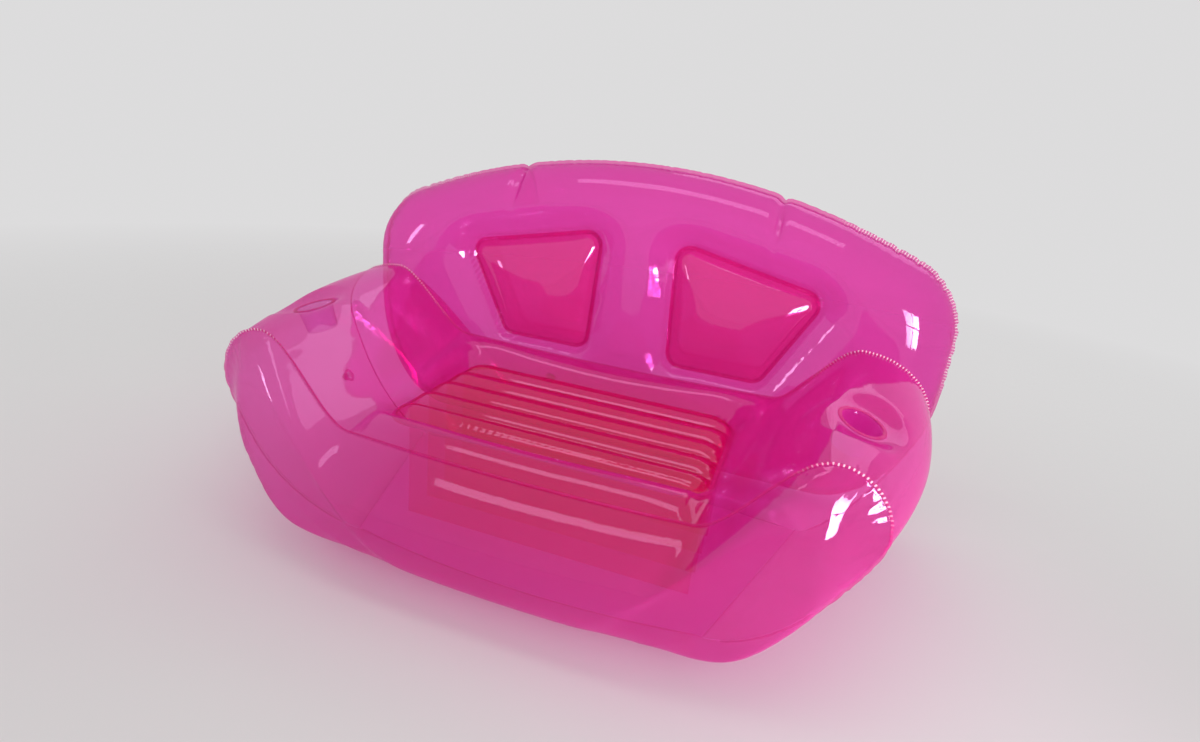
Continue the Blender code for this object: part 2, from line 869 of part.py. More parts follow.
def pillow_row_points(up):
    """The points of one row that crosses the pillow, from the middle of the back to its end."""
    first, last = pillow_columns[0], pillow_columns[-1]
    across = [(k - first) / (last - first) for k in pillow_columns]
    row = [pillow_point(share, up) for share in across]
    inner, outer = row[0], row[-1]
    row.insert(0, Vector((inner.x - weld_land, inner.y)))
    row.insert(0, Vector((inner.x - weld_land - pillow_groove_width / 2, inner.y)))
    row.insert(0, Vector((0.0, inner.y)))
    row.append(Vector((outer.x + weld_land, outer.y)))
    row.append(Vector((outer.x + weld_land + pillow_groove_width / 2, outer.y)))
    end_z = mix(back_end_low_z, back_end_top_z, mix(*back_end_shares, up))
    end = Vector((back_half_width, end_z))
    start = row[-1]
    steps = len(crest_shares) - len(row)
    for k in range(1, steps + 1):
        share = math.sin(k / steps * math.pi / 2)
        row.append(mix(start, end, share))
    return row


def half_back():
    """Rows of (x, z) from the foot of the back up to its crest, right of the middle."""
    low_row = pillow_row_points(0.0)
    top_row = pillow_row_points(1.0)
    feet = [foot_point(k) for k in range(len(crest_shares))]
    crest = [crest_point(k) for k in range(len(crest_shares))]
    rows = [feet]
    low_land = [p - Vector((0, weld_land)) for p in low_row[:-1]]
    low_land.append(mix(feet[-1], low_row[-1], back_land_end_share))
    for share in back_foot_row_shares:
        rows.append([mix(foot, land, share) for foot, land in zip(feet, low_land)])
    rows.append(low_land)
    rows += [pillow_row_points(up) for up in pillow_row_shares]
    top_land = [p + Vector((0, weld_land)) for p in top_row[:-1]]
    top_land.append(mix(crest[-1], top_row[-1], back_land_end_share))
    rows.append(top_land)
    for share in back_crest_row_shares:
        rows.append([mix(land, top, share) for land, top in zip(top_land, crest)])
    rows.append(crest)
    return rows


def outline_distance(point, outline):
    """The distance from a point to a closed line."""
    found = []
    for k, start in enumerate(outline):
        run = outline[(k + 1) % len(outline)] - start
        share = max(0.0, min(1.0, (point - start).dot(run) / run.length_squared))
        found.append((point - (start + run * share)).length)
    return min(found)


def back_grid():
    """Rows of (x, z) over the whole back, and its outline from the left foot over the crest."""
    rows = []
    for half in half_back():
        left = [Vector((-p.x, p.y)) for p in reversed(half[1:])]
        rows.append(left + half)
    pull = corner_pull_share * pillow_groove_width
    centre = len(crest_shares) - 1
    first, last = pillow_columns[0], pillow_columns[-1]
    for side in (-1, 1):
        loops = ((first, last, pillow_rows[0], pillow_rows[-1]),)
        loops += ((first - 1, last + 1, pillow_rows[0] - 1, pillow_rows[-1] + 1),)
        for inner, outer, low, top in loops:
            for row, up in ((low, 1), (top, -1)):
                rows[row][centre + side * inner] += Vector((side * pull, up * pull)) / 2
                rows[row][centre + side * outer] += Vector((-side * pull, up * pull)) / 2
    outline = rows[-1] + [row[-1] for row in reversed(rows[1:-1])]
    outline += list(reversed(rows[0])) + [row[0] for row in rows[1:-1]]
    return rows, outline


def pillow_loop(rows, side):
    """The pillow's opening in the back's front film, as a closed line."""
    centre = len(crest_shares) - 1
    columns = [centre + side * k for k in pillow_columns]
    low, top = pillow_rows[0], pillow_rows[-1]
    loop = [rows[low][k] for k in columns]
    loop += [rows[j][columns[-1]] for j in pillow_rows[1:]]
    loop += [rows[top][k] for k in reversed(columns[:-1])]
    loop += [rows[j][columns[0]] for j in reversed(pillow_rows[1:-1])]
    return loop


def back_front_y(point, outline, loops):
    """How far forward the front film lies, away from the lands round the pillows."""
    rim = dome(outline_distance(point, outline) / back_edge_width)
    away = min(outline_distance(point, loop) for loop in loops)
    groove = dome((away - weld_land) / pillow_groove_width)
    y = back_rim_y - rim * (back_front_depth - pillow_groove_depth * (1 - groove))
    if point.y < deck_rear_z + back_contact_rise:
        y = max(y, back_contact_y)
    return y


def back_land(j, k):
    """Whether a grid point lies on the flat weld land round a pillow."""
    k = abs(k - (len(crest_shares) - 1))
    columns = range(pillow_columns[0] - 1, pillow_columns[-1] + 2)
    rows = range(pillow_rows[0] - 1, pillow_rows[-1] + 2)
    return k in columns and j in rows


def flat(point):
    return Vector((point.x, 0, point.z))


def back_films(made_front, made_rear):
    rows, outline = back_grid()
    loops = [pillow_loop(rows, side) for side in (-1, 1)]
    groove_y = back_rim_y - back_front_depth + pillow_groove_depth
    front, rear = [], []
    for j, row in enumerate(rows):
        front_row, rear_row = [], []
        for k, p in enumerate(row):
            front_y = groove_y if back_land(j, k) else back_front_y(p, outline, loops)
            rim = dome(outline_distance(p, outline) / back_rear_edge_width)
            rear_y = back_rim_y + rim * back_rear_depth
            front_row.append(Vector((p.x, front_y - film - clearance, p.y)))
            rear_row.append(Vector((p.x, rear_y + film + clearance, p.y)))
        front.append(front_row)
        rear.append(rear_row)
    bm, verts = grid(front)
    centre = len(crest_shares) - 1
    for side in (-1, 1):
        ends = sorted(centre + side * k for k in (pillow_columns[0], pillow_columns[-1]))
        cut_block(bm, verts, (pillow_rows[0], ends[0]), (pillow_rows[-1], ends[1]))
    film_sheet(bm, "back_front_film", made_front, (0, -1, 0))
    bm, verts = grid(rear)
    target = Vector((back_valve_x, 0, back_valve_z))
    places = [(j, k) for j in range(1, last_back_row) for k in range(1, len(rows[0]) - 1)]
    row, column = min(places, key=lambda jk: (flat(rear[jk[0]][jk[1]]) - target).length)
    port = (Vector((back_valve_x, rear[row][column].y, back_valve_z)), Vector((0, 1, 0)), row, column)
    open_port(bm, verts, port, valve_cell_count, valve_mouth_radius, valve_land_radius)
    film_sheet(bm, "back_rear_film", made_rear, (0, 1, 0))
    return rows, outline, loops, front, rear, port


def between_cells(rows, row, column):
    """The point of a grid at a row and column that may lie between its lines."""
    j = min(math.floor(row), len(rows) - 2)
    k = min(math.floor(column), len(rows[0]) - 2)
    low = mix(rows[j][k], rows[j][k + 1], column - k)
    high = mix(rows[j + 1][k], rows[j + 1][k + 1], column - k)
    return mix(low, high, row - j)


def pillow_lines(first, last):
    """Line numbers over a pillow and its border, with one more between each two of the opening's."""
    border = 1 - clearance / weld_land
    lines = [first + k / pillow_split_count for k in range((last - first) * pillow_split_count + 1)]
    return [first - border] + lines + [last + border]


def pillow_film(side, name, rows, loop, made):
    """A pillow's crowned face, whose flat border lies behind the back's front film."""
    plane_y = back_rim_y - back_front_depth + pillow_groove_depth + clearance
    centre = len(crest_shares) - 1
    points = []
    for j in pillow_lines(pillow_rows[0], pillow_rows[-1]):
        row = []
        for k in pillow_lines(pillow_columns[0], pillow_columns[-1]):
            p = between_cells(rows, j, centre + side * k)
            inside = pillow_rows[0] < j < pillow_rows[-1]
            inside = inside and pillow_columns[0] < k < pillow_columns[-1]
            away = outline_distance(p, loop) / pillow_crown_width
            crown = pillow_crown * dome(away) if inside else 0.0
            row.append(Vector((p.x, plane_y - crown, p.y)))
        points.append(row)
    bm, _ = grid(points)
    film_sheet(bm, name, made, (0, -1, 0))


def pillow_tie(name, loop, made):
    """The film wall that holds a pillow's border back to the rear film."""
    groove_y = back_rim_y - back_front_depth + pillow_groove_depth
    front_y = groove_y + film + 2 * clearance
    rear_y = back_rim_y + back_rear_depth - film
    bm = bmesh.new()
    verts = [bm.verts.new((p.x, front_y, p.y)) for p in loop]
    edges = [bm.edges.new((verts[k], verts[(k + 1) % len(verts)])) for k in range(len(verts))]
    grown = bmesh.ops.extrude_edge_only(bm, edges=edges)
    for item in grown["geom"]:
        if isinstance(item, bmesh.types.BMVert):
            item.co.y = rear_y
    bmesh.ops.recalc_face_normals(bm, faces=bm.faces)
    piece = link(bm, name, made)
    wall = piece.modifiers.new("film", "SOLIDIFY")
    wall.thickness = film
    wall.offset = 0


def crest_tie(side, number, rows, front, rear, made):
    """The film that draws the crest in at a notch, between the front and the rear film."""
    centre = len(crest_shares) - 1
    column = centre + side * notch_column
    low = pillow_rows[-1] + 1
    inset = Vector((0, film + 2 * clearance, 0))
    front_edge = [front[j][column] + inset for j in range(low, last_back_row)]
    rear_edge = [rear[j][column] - inset for j in range(low, last_back_row)]
    upright_film(f"{number}_crest_tie", front_edge + list(reversed(rear_edge)), made)


def back_rim_weld(outline, made):
    points = [Vector((p.x, back_rim_y, p.y)) for p in outline]
    seam_ribbon(points, line_normals(points, True), back_seam_lip, "back_rim_weld", made, True)


# Valves


def add_tab(piece, origin, reach, low, high):
    """Joins a small block to a turned piece, from its hinge line to as far in as reach."""
    bm = bmesh.new()
    bmesh.ops.create_cube(bm, size=1)
    size = (reach, 2 * valve_tab_half_width, high - low)
    place = Matrix.Translation((origin[0] + reach / 2, 0, (low + high) / 2))
    bmesh.ops.transform(bm, matrix=place @ Matrix.Diagonal((*size, 1)), verts=bm.verts)
    bmesh.ops.translate(bm, vec=-Vector(origin), verts=bm.verts)
    block = link(bm, piece.name + "_tab", piece.data.materials[0])
    block.matrix_world = piece.matrix_world
    block.hide_render = True
    block.display_type = "WIRE"
    join = piece.modifiers.new("tab", "BOOLEAN")
    join.operation = "UNION"
    join.object = block


def valve(number, frame, made_clear, made_cap):
    """Flange, sliding neck, hinged cap and inner flap, along the frame's Z from the film outwards."""
    seat = clearance + valve_flange_thickness
    flange = [
        (valve_stem_radius + clearance, clearance),
        (valve_flange_radius, clearance),
        (valve_flange_radius - valve_flange_thickness, seat),
        (valve_stem_radius + clearance, seat),
    ]
    turned(f"{number}_valve_flange", flange, frame, made_clear)
    neck = [
        (valve_bore_radius, -valve_neck_in),
        (valve_stem_radius, -valve_neck_in),
        (valve_stem_radius, valve_neck_out - valve_collar_height),
        (valve_collar_radius, valve_neck_out - valve_collar_height),
        (valve_collar_radius, valve_neck_out),
        (valve_bore_radius, valve_neck_out),
    ]
    turned(f"{number}_valve_neck", neck, frame, made_clear)
    low = valve_neck_out + clearance
    hinge = (-(valve_collar_radius + clearance), 0, low)
    cap = [
        (0, low - valve_plug_length),
        (valve_plug_tip_radius, low - valve_plug_length),
        (valve_bore_radius - 2 * clearance, low),
        (valve_cap_radius, low),
        (valve_cap_radius, low + valve_cap_thickness),
        (0, low + valve_cap_thickness),
    ]
    piece = turned(f"{number}_valve_cap", cap, frame, made_cap, hinge)
    add_tab(piece, hinge, valve_collar_radius - valve_plug_tip_radius, low, low + valve_cap_thickness)
    top = -valve_neck_in - clearance
    hinge = (-valve_stem_radius, 0, top)
    flap = [
        (0, top - valve_flap_thickness),
        (valve_flap_radius, top - valve_flap_thickness),
        (valve_flap_radius, top),
        (0, top),
    ]
    piece = turned(f"{number}_valve_flap", flap, frame, made_clear, hinge)
    add_tab(piece, hinge, valve_stem_radius / 2, top - valve_flap_thickness, top)


def main():
    for item in list(bpy.data.objects):
        bpy.data.objects.remove(item)
    front_film = material("front film", magenta)
    deck_film = material("deck film", pink)
    hidden_film = material("hidden film", magenta)
    pan_film = material("pan film", red_pink)
    back_film = material("back film", magenta)
    pillow_colour = material("pillow film", red_pink)
    seam_film = material("seam film", pale_pink)
    clear_film = material("clear vinyl", clear_pink, 0.2)

    points = wrap_points()
    cups = [cup_place(points, side) for side in (-1, 1)]
    base_port = valve_place(points)
    seat_and_arm_wrap(points, cups, base_port, deck_film)
    front_feet = (front_foot_y, front_foot_end_y)
    front_bulges = (front_middle_bulge, front_arm_bulge, front_side_bulge)
    panel_between(front_line, front_feet, front_bulges, -1, front_rows, "front_panel", front_film)
    rear_feet = (rear_foot_y, rear_foot_end_y)
    rear_bulges = (rear_middle_bulge, rear_arm_bulge, rear_side_bulge)
    panel_between(
        rear_line, rear_feet, rear_bulges, 1, rear_rows, "base_rear_panel", hidden_film, rear_limit
    )
    bottom_panel(hidden_film)
    seat_pan(pan_film)
    seat_baffles(pan_film)
    for side, (centre, axis, _, _) in zip(("left", "right"), cups):
        cup_well(side, centre, axis, clear_film)
        cup_rim(side, centre, axis, seam_film)
    open_seam(front_line, seam_lip, "front_seam_weld", seam_film)
    open_seam(rear_line, seam_lip, "rear_seam_weld", seam_film)

    rows, outline, loops, front, rear, back_port = back_films(back_film, hidden_film)
    for side, number in ((-1, "left"), (1, "right")):
        loop = loops[0] if side < 0 else loops[1]
        pillow_film(side, f"{number}_pillow", rows, loop, pillow_colour)
        pillow_tie(f"{number}_pillow_tie", loop, pillow_colour)
        crest_tie(side, number, rows, front, rear, back_film)
    back_rim_weld(outline, seam_film)

    valve("base", axis_frame(*base_port[:2]), clear_film, pan_film)
    valve("back", axis_frame(*back_port[:2]), clear_film, pan_film)


if __name__ == "__main__":
    main()
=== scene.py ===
"""Looks of the inflatable two-seater sofa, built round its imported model.

Metres, +Z up, the front towards -Y, the floor at z = 0 under the middle of the sofa.
"""

import functools
import math

import bmesh
import bpy
import numpy as np
from mathutils import Matrix, Vector, kdtree


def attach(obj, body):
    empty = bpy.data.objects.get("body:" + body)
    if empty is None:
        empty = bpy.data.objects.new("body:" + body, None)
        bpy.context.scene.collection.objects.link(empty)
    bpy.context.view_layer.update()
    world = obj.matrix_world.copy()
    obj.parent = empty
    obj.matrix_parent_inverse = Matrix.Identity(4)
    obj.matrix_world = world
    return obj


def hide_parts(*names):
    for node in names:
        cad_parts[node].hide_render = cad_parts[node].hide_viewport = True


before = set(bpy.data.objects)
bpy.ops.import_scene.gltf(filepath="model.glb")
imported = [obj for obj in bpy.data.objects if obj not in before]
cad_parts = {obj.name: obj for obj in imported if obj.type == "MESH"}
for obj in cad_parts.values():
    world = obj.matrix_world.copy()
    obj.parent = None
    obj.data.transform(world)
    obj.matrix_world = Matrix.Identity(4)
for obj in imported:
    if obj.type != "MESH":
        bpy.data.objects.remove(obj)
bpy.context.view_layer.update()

bl_info = {
    "name": "Inflatable sofa",
    "version": (1, 0, 0),
    "blender": (4, 5, 0),
    "location": "3D View > Sidebar > Sofa",
    "description": "Welded film panels, pillows, cup wells and valves of an inflatable sofa",
    "category": "Object",
}

# Film and welds
clearance = 0.0003
mouth_height = 0.03
weld_land = 0.010
land_row = 0.002
lip_rows = (0.0, 0.35, 0.7, 1.0)
lip_wave = 0.0016
seam_lip = 0.004
back_seam_lip = 0.008
seam_scallop = 0.0020
back_scallop = 0.0060
scallop_fade = 0.018
crease_roundness = 0.7
crease_start = 0.007
side_crease_reach = 0.030
front_crease_reach = 0.036
back_crease_reach = 0.034
weld_dot_pitch = 0.007
weld_dots_from_x = 0.43
weld_dots_from_z = 0.32

# Seat deck, between the two arms
front_seam_y = -0.290
front_foot_y = -0.245
front_foot_end_y = -0.212
rear_seam_y = 0.285
rear_foot_y = 0.265
rear_foot_end_y = 0.235
deck_front_z = 0.253
deck_rear_z = 0.283
deck_front_crown = 0.026
deck_rear_crown = 0.012
valley_front = (0.315, 0.262)
valley_rear = (0.385, 0.305)
valley_rear_y = 0.245
valley_middle_x = (valley_front[0] + valley_rear[0]) / 2

# Ribbed seat pan
pan_half_x = 0.318
pan_half_y = 0.182
pan_corner = 0.055
pan_land_z = 0.250
pan_edge_rise = 0.004
pan_fall = 0.040
rib_height = 0.020
rib_count = 5
rib_end_run = 0.045
baffle_edge_gap = 0.010

# Arms: hump, widest point and foot, as (x, z), at the front and the rear seam
front_hump = (0.500, 0.417)
front_outer = (0.590, 0.318)
front_foot_x = 0.362
rear_hump = (0.545, 0.462)
rear_outer = (0.692, 0.340)
rear_foot_x = 0.500
arm_rear_y = 0.190
arm_side_bulge = 0.028
arm_crown_bulge = 0.004
arm_inner_bulge = 0.018
flank_upper_share = 0.18
flank_lower_share = 0.24
arm_turn_share = 0.62
flank_foot_share = 0.64
fullness_share = 0.8

# Front and rear panels: how far they stand out at the middle, at an arm's hump and at its side
front_bulges = (0.120, 0.086, 0.032)
rear_bulges = (0.085, 0.085, 0.040)
panel_edge_share = 0.12
bulge_fall_share = 2.5
panel_turn_share = 0.55

# Cup wells
cup_radius = 0.035
cup_floor_radius = 0.031
cup_depth = 0.050
cup_fillet = 0.004
cup_rim_width = 0.007
cup_rim_thickness = 0.0015
cup_fall = 0.050

# Backrest
back_rim_y = 0.420
back_half_width = 0.746
back_crest_z = 0.758
back_notch_x = 0.322
back_notch_z = 0.714
back_notch_width = 0.022
back_shoulder_x = 0.640
back_shoulder_z = 0.624
back_end_top_z = 0.460
back_end_low_z = 0.355
back_foot_x = 0.520
back_foot_z = 0.020
back_front_depth = 0.100
back_rear_depth = 0.085
back_edge_width = 0.125
back_rear_edge_width = 0.100
back_contact_y = 0.335
back_contact_z = 0.298
pillow_groove_depth = 0.065
pillow_groove_width = 0.105
pillow_crown = 0.045
pillow_crown_width = 0.110
pillow_corners = ((0.115, 0.292), (0.340, 0.292), (0.455, 0.515), (0.100, 0.590))
pillow_corner_radius = 0.030
pillow_crease_count = 34
pillow_crease_depth = 0.0022
groove_y = back_rim_y - back_front_depth + pillow_groove_depth

# Valves
valve_flange_radius = 0.0165
valve_flange_thickness = 0.0010
valve_land_rim = 0.0020
valve_stem_radius = 0.0080
valve_bore_radius = 0.0055
valve_collar_radius = 0.0093
valve_collar_height = 0.0018
valve_neck_out = 0.0140
valve_neck_in = 0.0040
valve_cap_radius = 0.0085
valve_cap_thickness = 0.0015
valve_plug_tip_radius = 0.0044
valve_plug_length = 0.0050
valve_tab_half_width = 0.0025
valve_flap_radius = 0.0066
valve_flap_thickness = 0.0008
valve_fall = 0.016

# Columns of the seat chamber's section, counted from the middle of the deck, and its rows
deck_end = 6
rise_end = 11
crown_end = 15
foot_end = 20
apron_end = 4
pan_end = 10
row_end = 13

# Camera and floor
camera_place = (0.40769, -1.16831)
camera_turn = (16.307, 19.330, 6.610)
focal_share = 647.04 / 1200
sensor_width = 36
sideways_shift = -6 / 1200
floor_half = 14
floor_fade_from = 1.3
floor_fade_rate = 0.35


def number_setting(name, description, default, **more):
    return bpy.props.FloatProperty(name=name, description=description, default=default, **more)


def colour_setting(name, description, default):
    return bpy.props.FloatVectorProperty(
        name=name, description=description, default=default, subtype="COLOR"
    )


class FilmSettings(bpy.types.PropertyGroup):
    thickness: number_setting(
        "Film thickness", "Thickness of the film of every panel", 0.0005, min=0.0002, unit="LENGTH"
    )
    pucker_depth: number_setting(
        "Pucker depth", "Depth of the creases that run from a weld", 0.0042, unit="LENGTH"
    )
    pucker_pitch: number_setting(
        "Pucker pitch", "Usual distance between two creases along a weld", 0.024, unit="LENGTH"
    )
    haze: number_setting(
        "Haze", "Share of light that one side of the film scatters", 0.13, subtype="FACTOR"
    )
    deck_tint: colour_setting(
        "Deck tint", "What the film over the deck and arms lets through", (0.98, 0.67, 0.89)
    )
    front_tint: colour_setting(
        "Front tint", "What the front, rear and bottom film lets through", (0.98, 0.68, 0.90)
    )
    back_tint: colour_setting(
        "Backrest tint", "What the backrest's film lets through", (0.98, 0.56, 0.87)
    )
    red_tint: colour_setting(
        "Red tint", "What the pan's, pillows' and baffles' film lets through", (0.985, 0.38, 0.74)
    )
    cup_tint: colour_setting(
        "Cup well tint", "What the cup wells' film lets through", (0.97, 0.86, 0.99)
    )
    film_colour: colour_setting(
        "Film colour", "Colour of the light that the film scatters", (0.82, 0.04, 0.38)
    )
    red_colour: colour_setting(
        "Red film colour", "Colour that the pan's and pillows' film scatters", (0.78, 0.02, 0.20)
    )
    seam_colour: colour_setting("Weld colour", "Colour of the pressed welds", (0.72, 0.06, 0.34))
    valve_colour: colour_setting(
        "Valve colour", "Colour of the soft clear vinyl of the valves", (0.86, 0.50, 0.68)
    )


class StageSettings(bpy.types.PropertyGroup):
    floor_colour: colour_setting("Floor colour", "Colour of the floor", (0.76, 0.755, 0.76))
    backdrop_colour: colour_setting(
        "Backdrop colour", "Colour behind the sofa", (0.72, 0.715, 0.72)
    )
    sky_strength: number_setting(
        "Sky strength", "Strength of the soft light from all round", 0.72
    )
    window_power: number_setting(
        "Window power", "Power of one pane of the window light", 1.4, unit="POWER"
    )
    camera_height: number_setting(
        "Camera height", "Height of the camera above the floor", 0.80189, unit="LENGTH"
    )


# Materials


class Wire:
    """An output socket, with sums that add Math nodes."""

    def __init__(self, finish, socket):
        self.finish = finish
        self.socket = socket

    def __add__(self, other):
        return self.finish.maths("ADD", self, other)

    def __sub__(self, other):
        return self.finish.maths("SUBTRACT", self, other)

    def __mul__(self, other):
        return self.finish.maths("MULTIPLY", self, other)

    def __pow__(self, other):
        return self.finish.maths("POWER", self, other)


class Finish:
    """The node tree of a material or a world."""

    def __init__(self, owner):
        owner.use_nodes = True
        self.owner = owner
        self.tree = owner.node_tree
        self.tree.nodes.clear()

    def node(self, kind, sockets, output=0, **settings):
        """Adds a node with its settings, then its sockets' values or links; returns one output."""
        made = self.tree.nodes.new(f"ShaderNode{kind}")
        for key, value in settings.items():
            setattr(made, key, value)
        for key, value in sockets.items():
            socket = made.inputs[key]
            if isinstance(value, Wire):
                self.tree.links.new(value.socket, socket)
            elif socket.type == "RGBA":
                socket.default_value = (*value, 1.0)
            else:
                socket.default_value = value
        return Wire(self, made.outputs[output]) if len(made.outputs) else made

    def spot(self):
        """Object coordinates."""
        return self.node("TexCoord", {}, "Object")

    def axis(self, vector, number):
        return self.node("SeparateXYZ", {"Vector": vector}, number)

    def noise(self, scale, detail):
        return self.node("TexNoise", {"Vector": self.spot(), "Scale": scale, "Detail": detail})

    def bump(self, height, strength, distance):
        return self.node("Bump", {"Height": height, "Strength": strength, "Distance": distance})

    def maths(self, operation, first, second=0.0):
        return self.node("Math", {0: first, 1: second}, operation=operation)

    def clipped(self, value):
        """A value kept between 0 and 1."""
        return self.node("Math", {0: value, 1: 1.0}, operation="MULTIPLY", use_clamp=True)

    def colours(self, share, first, second):
        return self.node("Mix", {"Factor": share, "A": first, "B": second}, 2, data_type="RGBA")

    def mottled(self, share, colour):
        """A colour that varies a little."""
        return self.colours(share, colour, tuple(c * 0.85 for c in colour))

    def film_over(self, share, tint, sockets):
        """Ends a material: a share of a shiny body, and the rest lets tinted light through."""
        clear = self.node("BsdfTransparent", {"Color": tint})
        body = self.node("BsdfPrincipled", sockets)
        mixed = self.node("MixShader", {0: share, 1: clear, 2: body})
        self.node("OutputMaterial", {"Surface": mixed})
        return self.owner


def film_finish(name, tint, colour, haze, edge=0.5):
    """Clear tinted film: light passes with its tint, and a little is scattered and mirrored."""
    finish = Finish(bpy.data.materials.new(name))
    broad = finish.noise(9.0, 1.0)
    fine = finish.noise(140.0, 2.0)
    facing_away = finish.node("LayerWeight", {"Blend": 0.5}, "Facing")
    sockets = {
        "Base Color": finish.mottled(broad, colour),
        "Roughness": fine * 0.04 + 0.03,
        "IOR": 3.6,
        # Violet specular tint: a painted reflection colour that stands in for cool window light,
        # since the lamps are neutral white
        "Specular Tint": (0.88, 0.72, 1.0),
        "Normal": finish.bump(broad * 0.8 + fine * 0.03, 0.30, 0.005),
    }
    return finish.film_over(facing_away**3.0 * edge + haze, tint, sockets)


def weld_finish(name, colour, haze):
    """Pressed weld: less clear than the film, with a row of pale pressed dots on the arms."""
    finish = Finish(bpy.data.materials.new(name))
    along = finish.axis(finish.node("UVMap", {}, uv_map="along_weld"), 0)
    wave = finish.maths("SINE", along * (math.tau / weld_dot_pitch))
    side = finish.maths("ABSOLUTE", finish.axis(finish.spot(), 0))
    on_arm = finish.clipped((side - weld_dots_from_x) * 12.0)
    on_top = finish.clipped((finish.axis(finish.spot(), 2) - weld_dots_from_z) * 15.0)
    dots = finish.clipped(wave * 1.6 - 0.2) * on_arm * on_top
    sockets = {
        "Base Color": finish.colours(dots, colour, paler(colour, 0.8)),
        "Roughness": 0.22,
        "IOR": 1.6,
        "Normal": finish.bump(dots, 0.5, 0.0008),
    }
    share = finish.noise(60.0, 2.0) * 0.2 + haze + dots * 0.35
    return finish.film_over(share, (0.97, 0.60, 0.82), sockets)


def vinyl_finish(name, colour, haze):
    """Soft moulded vinyl of the valves, nearly clear or solid, with a faint moulding grain."""
    finish = Finish(bpy.data.materials.new(name))
    grain = finish.noise(900.0, 3.0)
    broad = finish.noise(120.0, 1.0)
    sockets = {
        "Base Color": finish.mottled(broad, colour),
        "Roughness": grain * 0.1 + 0.2,
        "IOR": 1.5,
        "Normal": finish.bump(grain, 0.25, 0.0004),
    }
    return finish.film_over(broad * 0.2 + haze, (0.98, 0.86, 0.93), sockets)


def films():
    return bpy.context.scene.sofa_film


def paler(tint, share):
    """A tint moved towards clear."""
    return tuple(c + (1 - c) * share for c in tint)


def finish_of(kind):
    """The finish of one kind, made when it is first asked for."""
    name = f"sofa_{kind}"
    if name in bpy.data.materials:
        return bpy.data.materials[name]
    f = films()
    sheets = {
        "deck_film": (f.deck_tint, f.film_colour, f.haze),
        "outer_film": (f.front_tint, f.film_colour, f.haze),
        "back_film": (f.back_tint, f.film_colour, f.haze),
        "seat_film": (f.red_tint, f.red_colour, f.haze * 1.3, 0.3),
        "baffle_film": (paler(f.red_tint, 0.35), f.red_colour, 0.0, 0.0),
        "tie_film": (paler(f.back_tint, 0.75), f.film_colour, 0.0, 0.1),
        "bottom_film": (f.front_tint, f.film_colour, 0.03, 0.0),
        "cup_film": (f.cup_tint, f.film_colour, f.haze / 3),
    }
    vinyls = {"valve_vinyl": (f.valve_colour, 0.22), "valve_cap": (f.seam_colour, 0.35)}
    if kind in sheets:
        return film_finish(name, *sheets[kind])
    if kind in vinyls:
        return vinyl_finish(name, *vinyls[kind])
    return weld_finish(name, f.seam_colour, 0.12)


# Measures of points and lines


def mix(a, b, share):
    return a + (b - a) * share


def ease(share):
    """Flat at both ends, steepest half way."""
    share = np.clip(share, 0.0, 1.0)
    return share * share * (3 - 2 * share)


def dome(share):
    """A quarter round: steep at 0, level from 1 on."""
    share = np.clip(share, 0.0, 1.0)
    return np.sqrt(1 - (1 - share) ** 2)


def hump(share):
    """Round-topped between 0 and 1, and 0 at both."""
    return np.sin(np.pi * np.clip(share, 0.0, 1.0)) ** fullness_share


def puffed(share):
    """How far along the chord and how far out a point of an air-filled panel lies."""
    start = panel_edge_share * math.pi
    angle = mix(start, math.pi - start, share)
    along = (math.cos(start) - np.cos(angle)) / (2 * math.cos(start))
    out = (np.sin(angle) - math.sin(start)) / (1 - math.sin(start))
    return along, out


def part(value, start, end):
    """How far a value has come from start to end, kept between 0 and 1."""
    return np.clip((value - start) / (end - start), 0, 1)


def bezier(a, b, c, d, share):
    rest = 1 - share
    return a * rest**3 + b * 3 * rest**2 * share + c * 3 * rest * share**2 + d * share**3


def arc_of(line):
    """How far along the line each of its points lies."""
    return np.concatenate([[0.0], np.cumsum(np.linalg.norm(np.diff(line, axis=0), axis=1))])


def spots_on(line, arc, along):
    return np.stack([np.interp(along, arc, line[:, k]) for k in range(line.shape[1])], axis=1)


def creases(marks, along):
    """The mark before each spot, the share of the way to the next, and 1 on marks to 0 between."""
    slot = np.clip(np.searchsorted(marks, along, side="right") - 1, 0, len(marks) - 2)
    share = (along - marks[slot]) / (marks[slot + 1] - marks[slot])
    return slot, share, 1 - np.sin(np.pi * np.clip(share, 0, 1)) ** crease_roundness


def unit(rows):
    return rows / np.maximum(np.linalg.norm(rows, axis=-1, keepdims=True), 1e-12)


def nearest_on_line(points, line, closed=False):
    """Each point's distance from a line, and how far along the line its nearest spot lies."""
    flat = line.shape[1] == 2
    tree = kdtree.KDTree(len(line))
    for number, spot in enumerate(line):
        tree.insert((*spot, 0.0) if flat else spot, number)
    tree.balance()
    spots = np.column_stack([points, np.zeros(len(points))]) if flat else points
    near = np.array([tree.find(spot)[1] for spot in spots.tolist()])
    starts = line if closed else line[:-1]
    ends = np.roll(line, -1, axis=0) if closed else line[1:]
    run = ends - starts
    lengths = np.maximum(np.linalg.norm(run, axis=1), 1e-9)
    before = np.concatenate([[0.0], np.cumsum(lengths)[:-1]])
    away = np.full(len(points), np.inf)
    along = np.zeros(len(points))
    for shift in (-2, -1, 0, 1):
        segment = near + shift
        segment = segment % len(starts) if closed else np.clip(segment, 0, len(starts) - 1)
        offset = points - starts[segment]
        share = np.einsum("pk,pk->p", offset, run[segment]) / lengths[segment] ** 2
        share = np.clip(share, 0.0, 1.0)
        gap = np.linalg.norm(offset - share[:, None] * run[segment], axis=1)
        better = gap < away
        away[better] = gap[better]
        along[better] = (before[segment] + share * lengths[segment])[better]
    return away, along


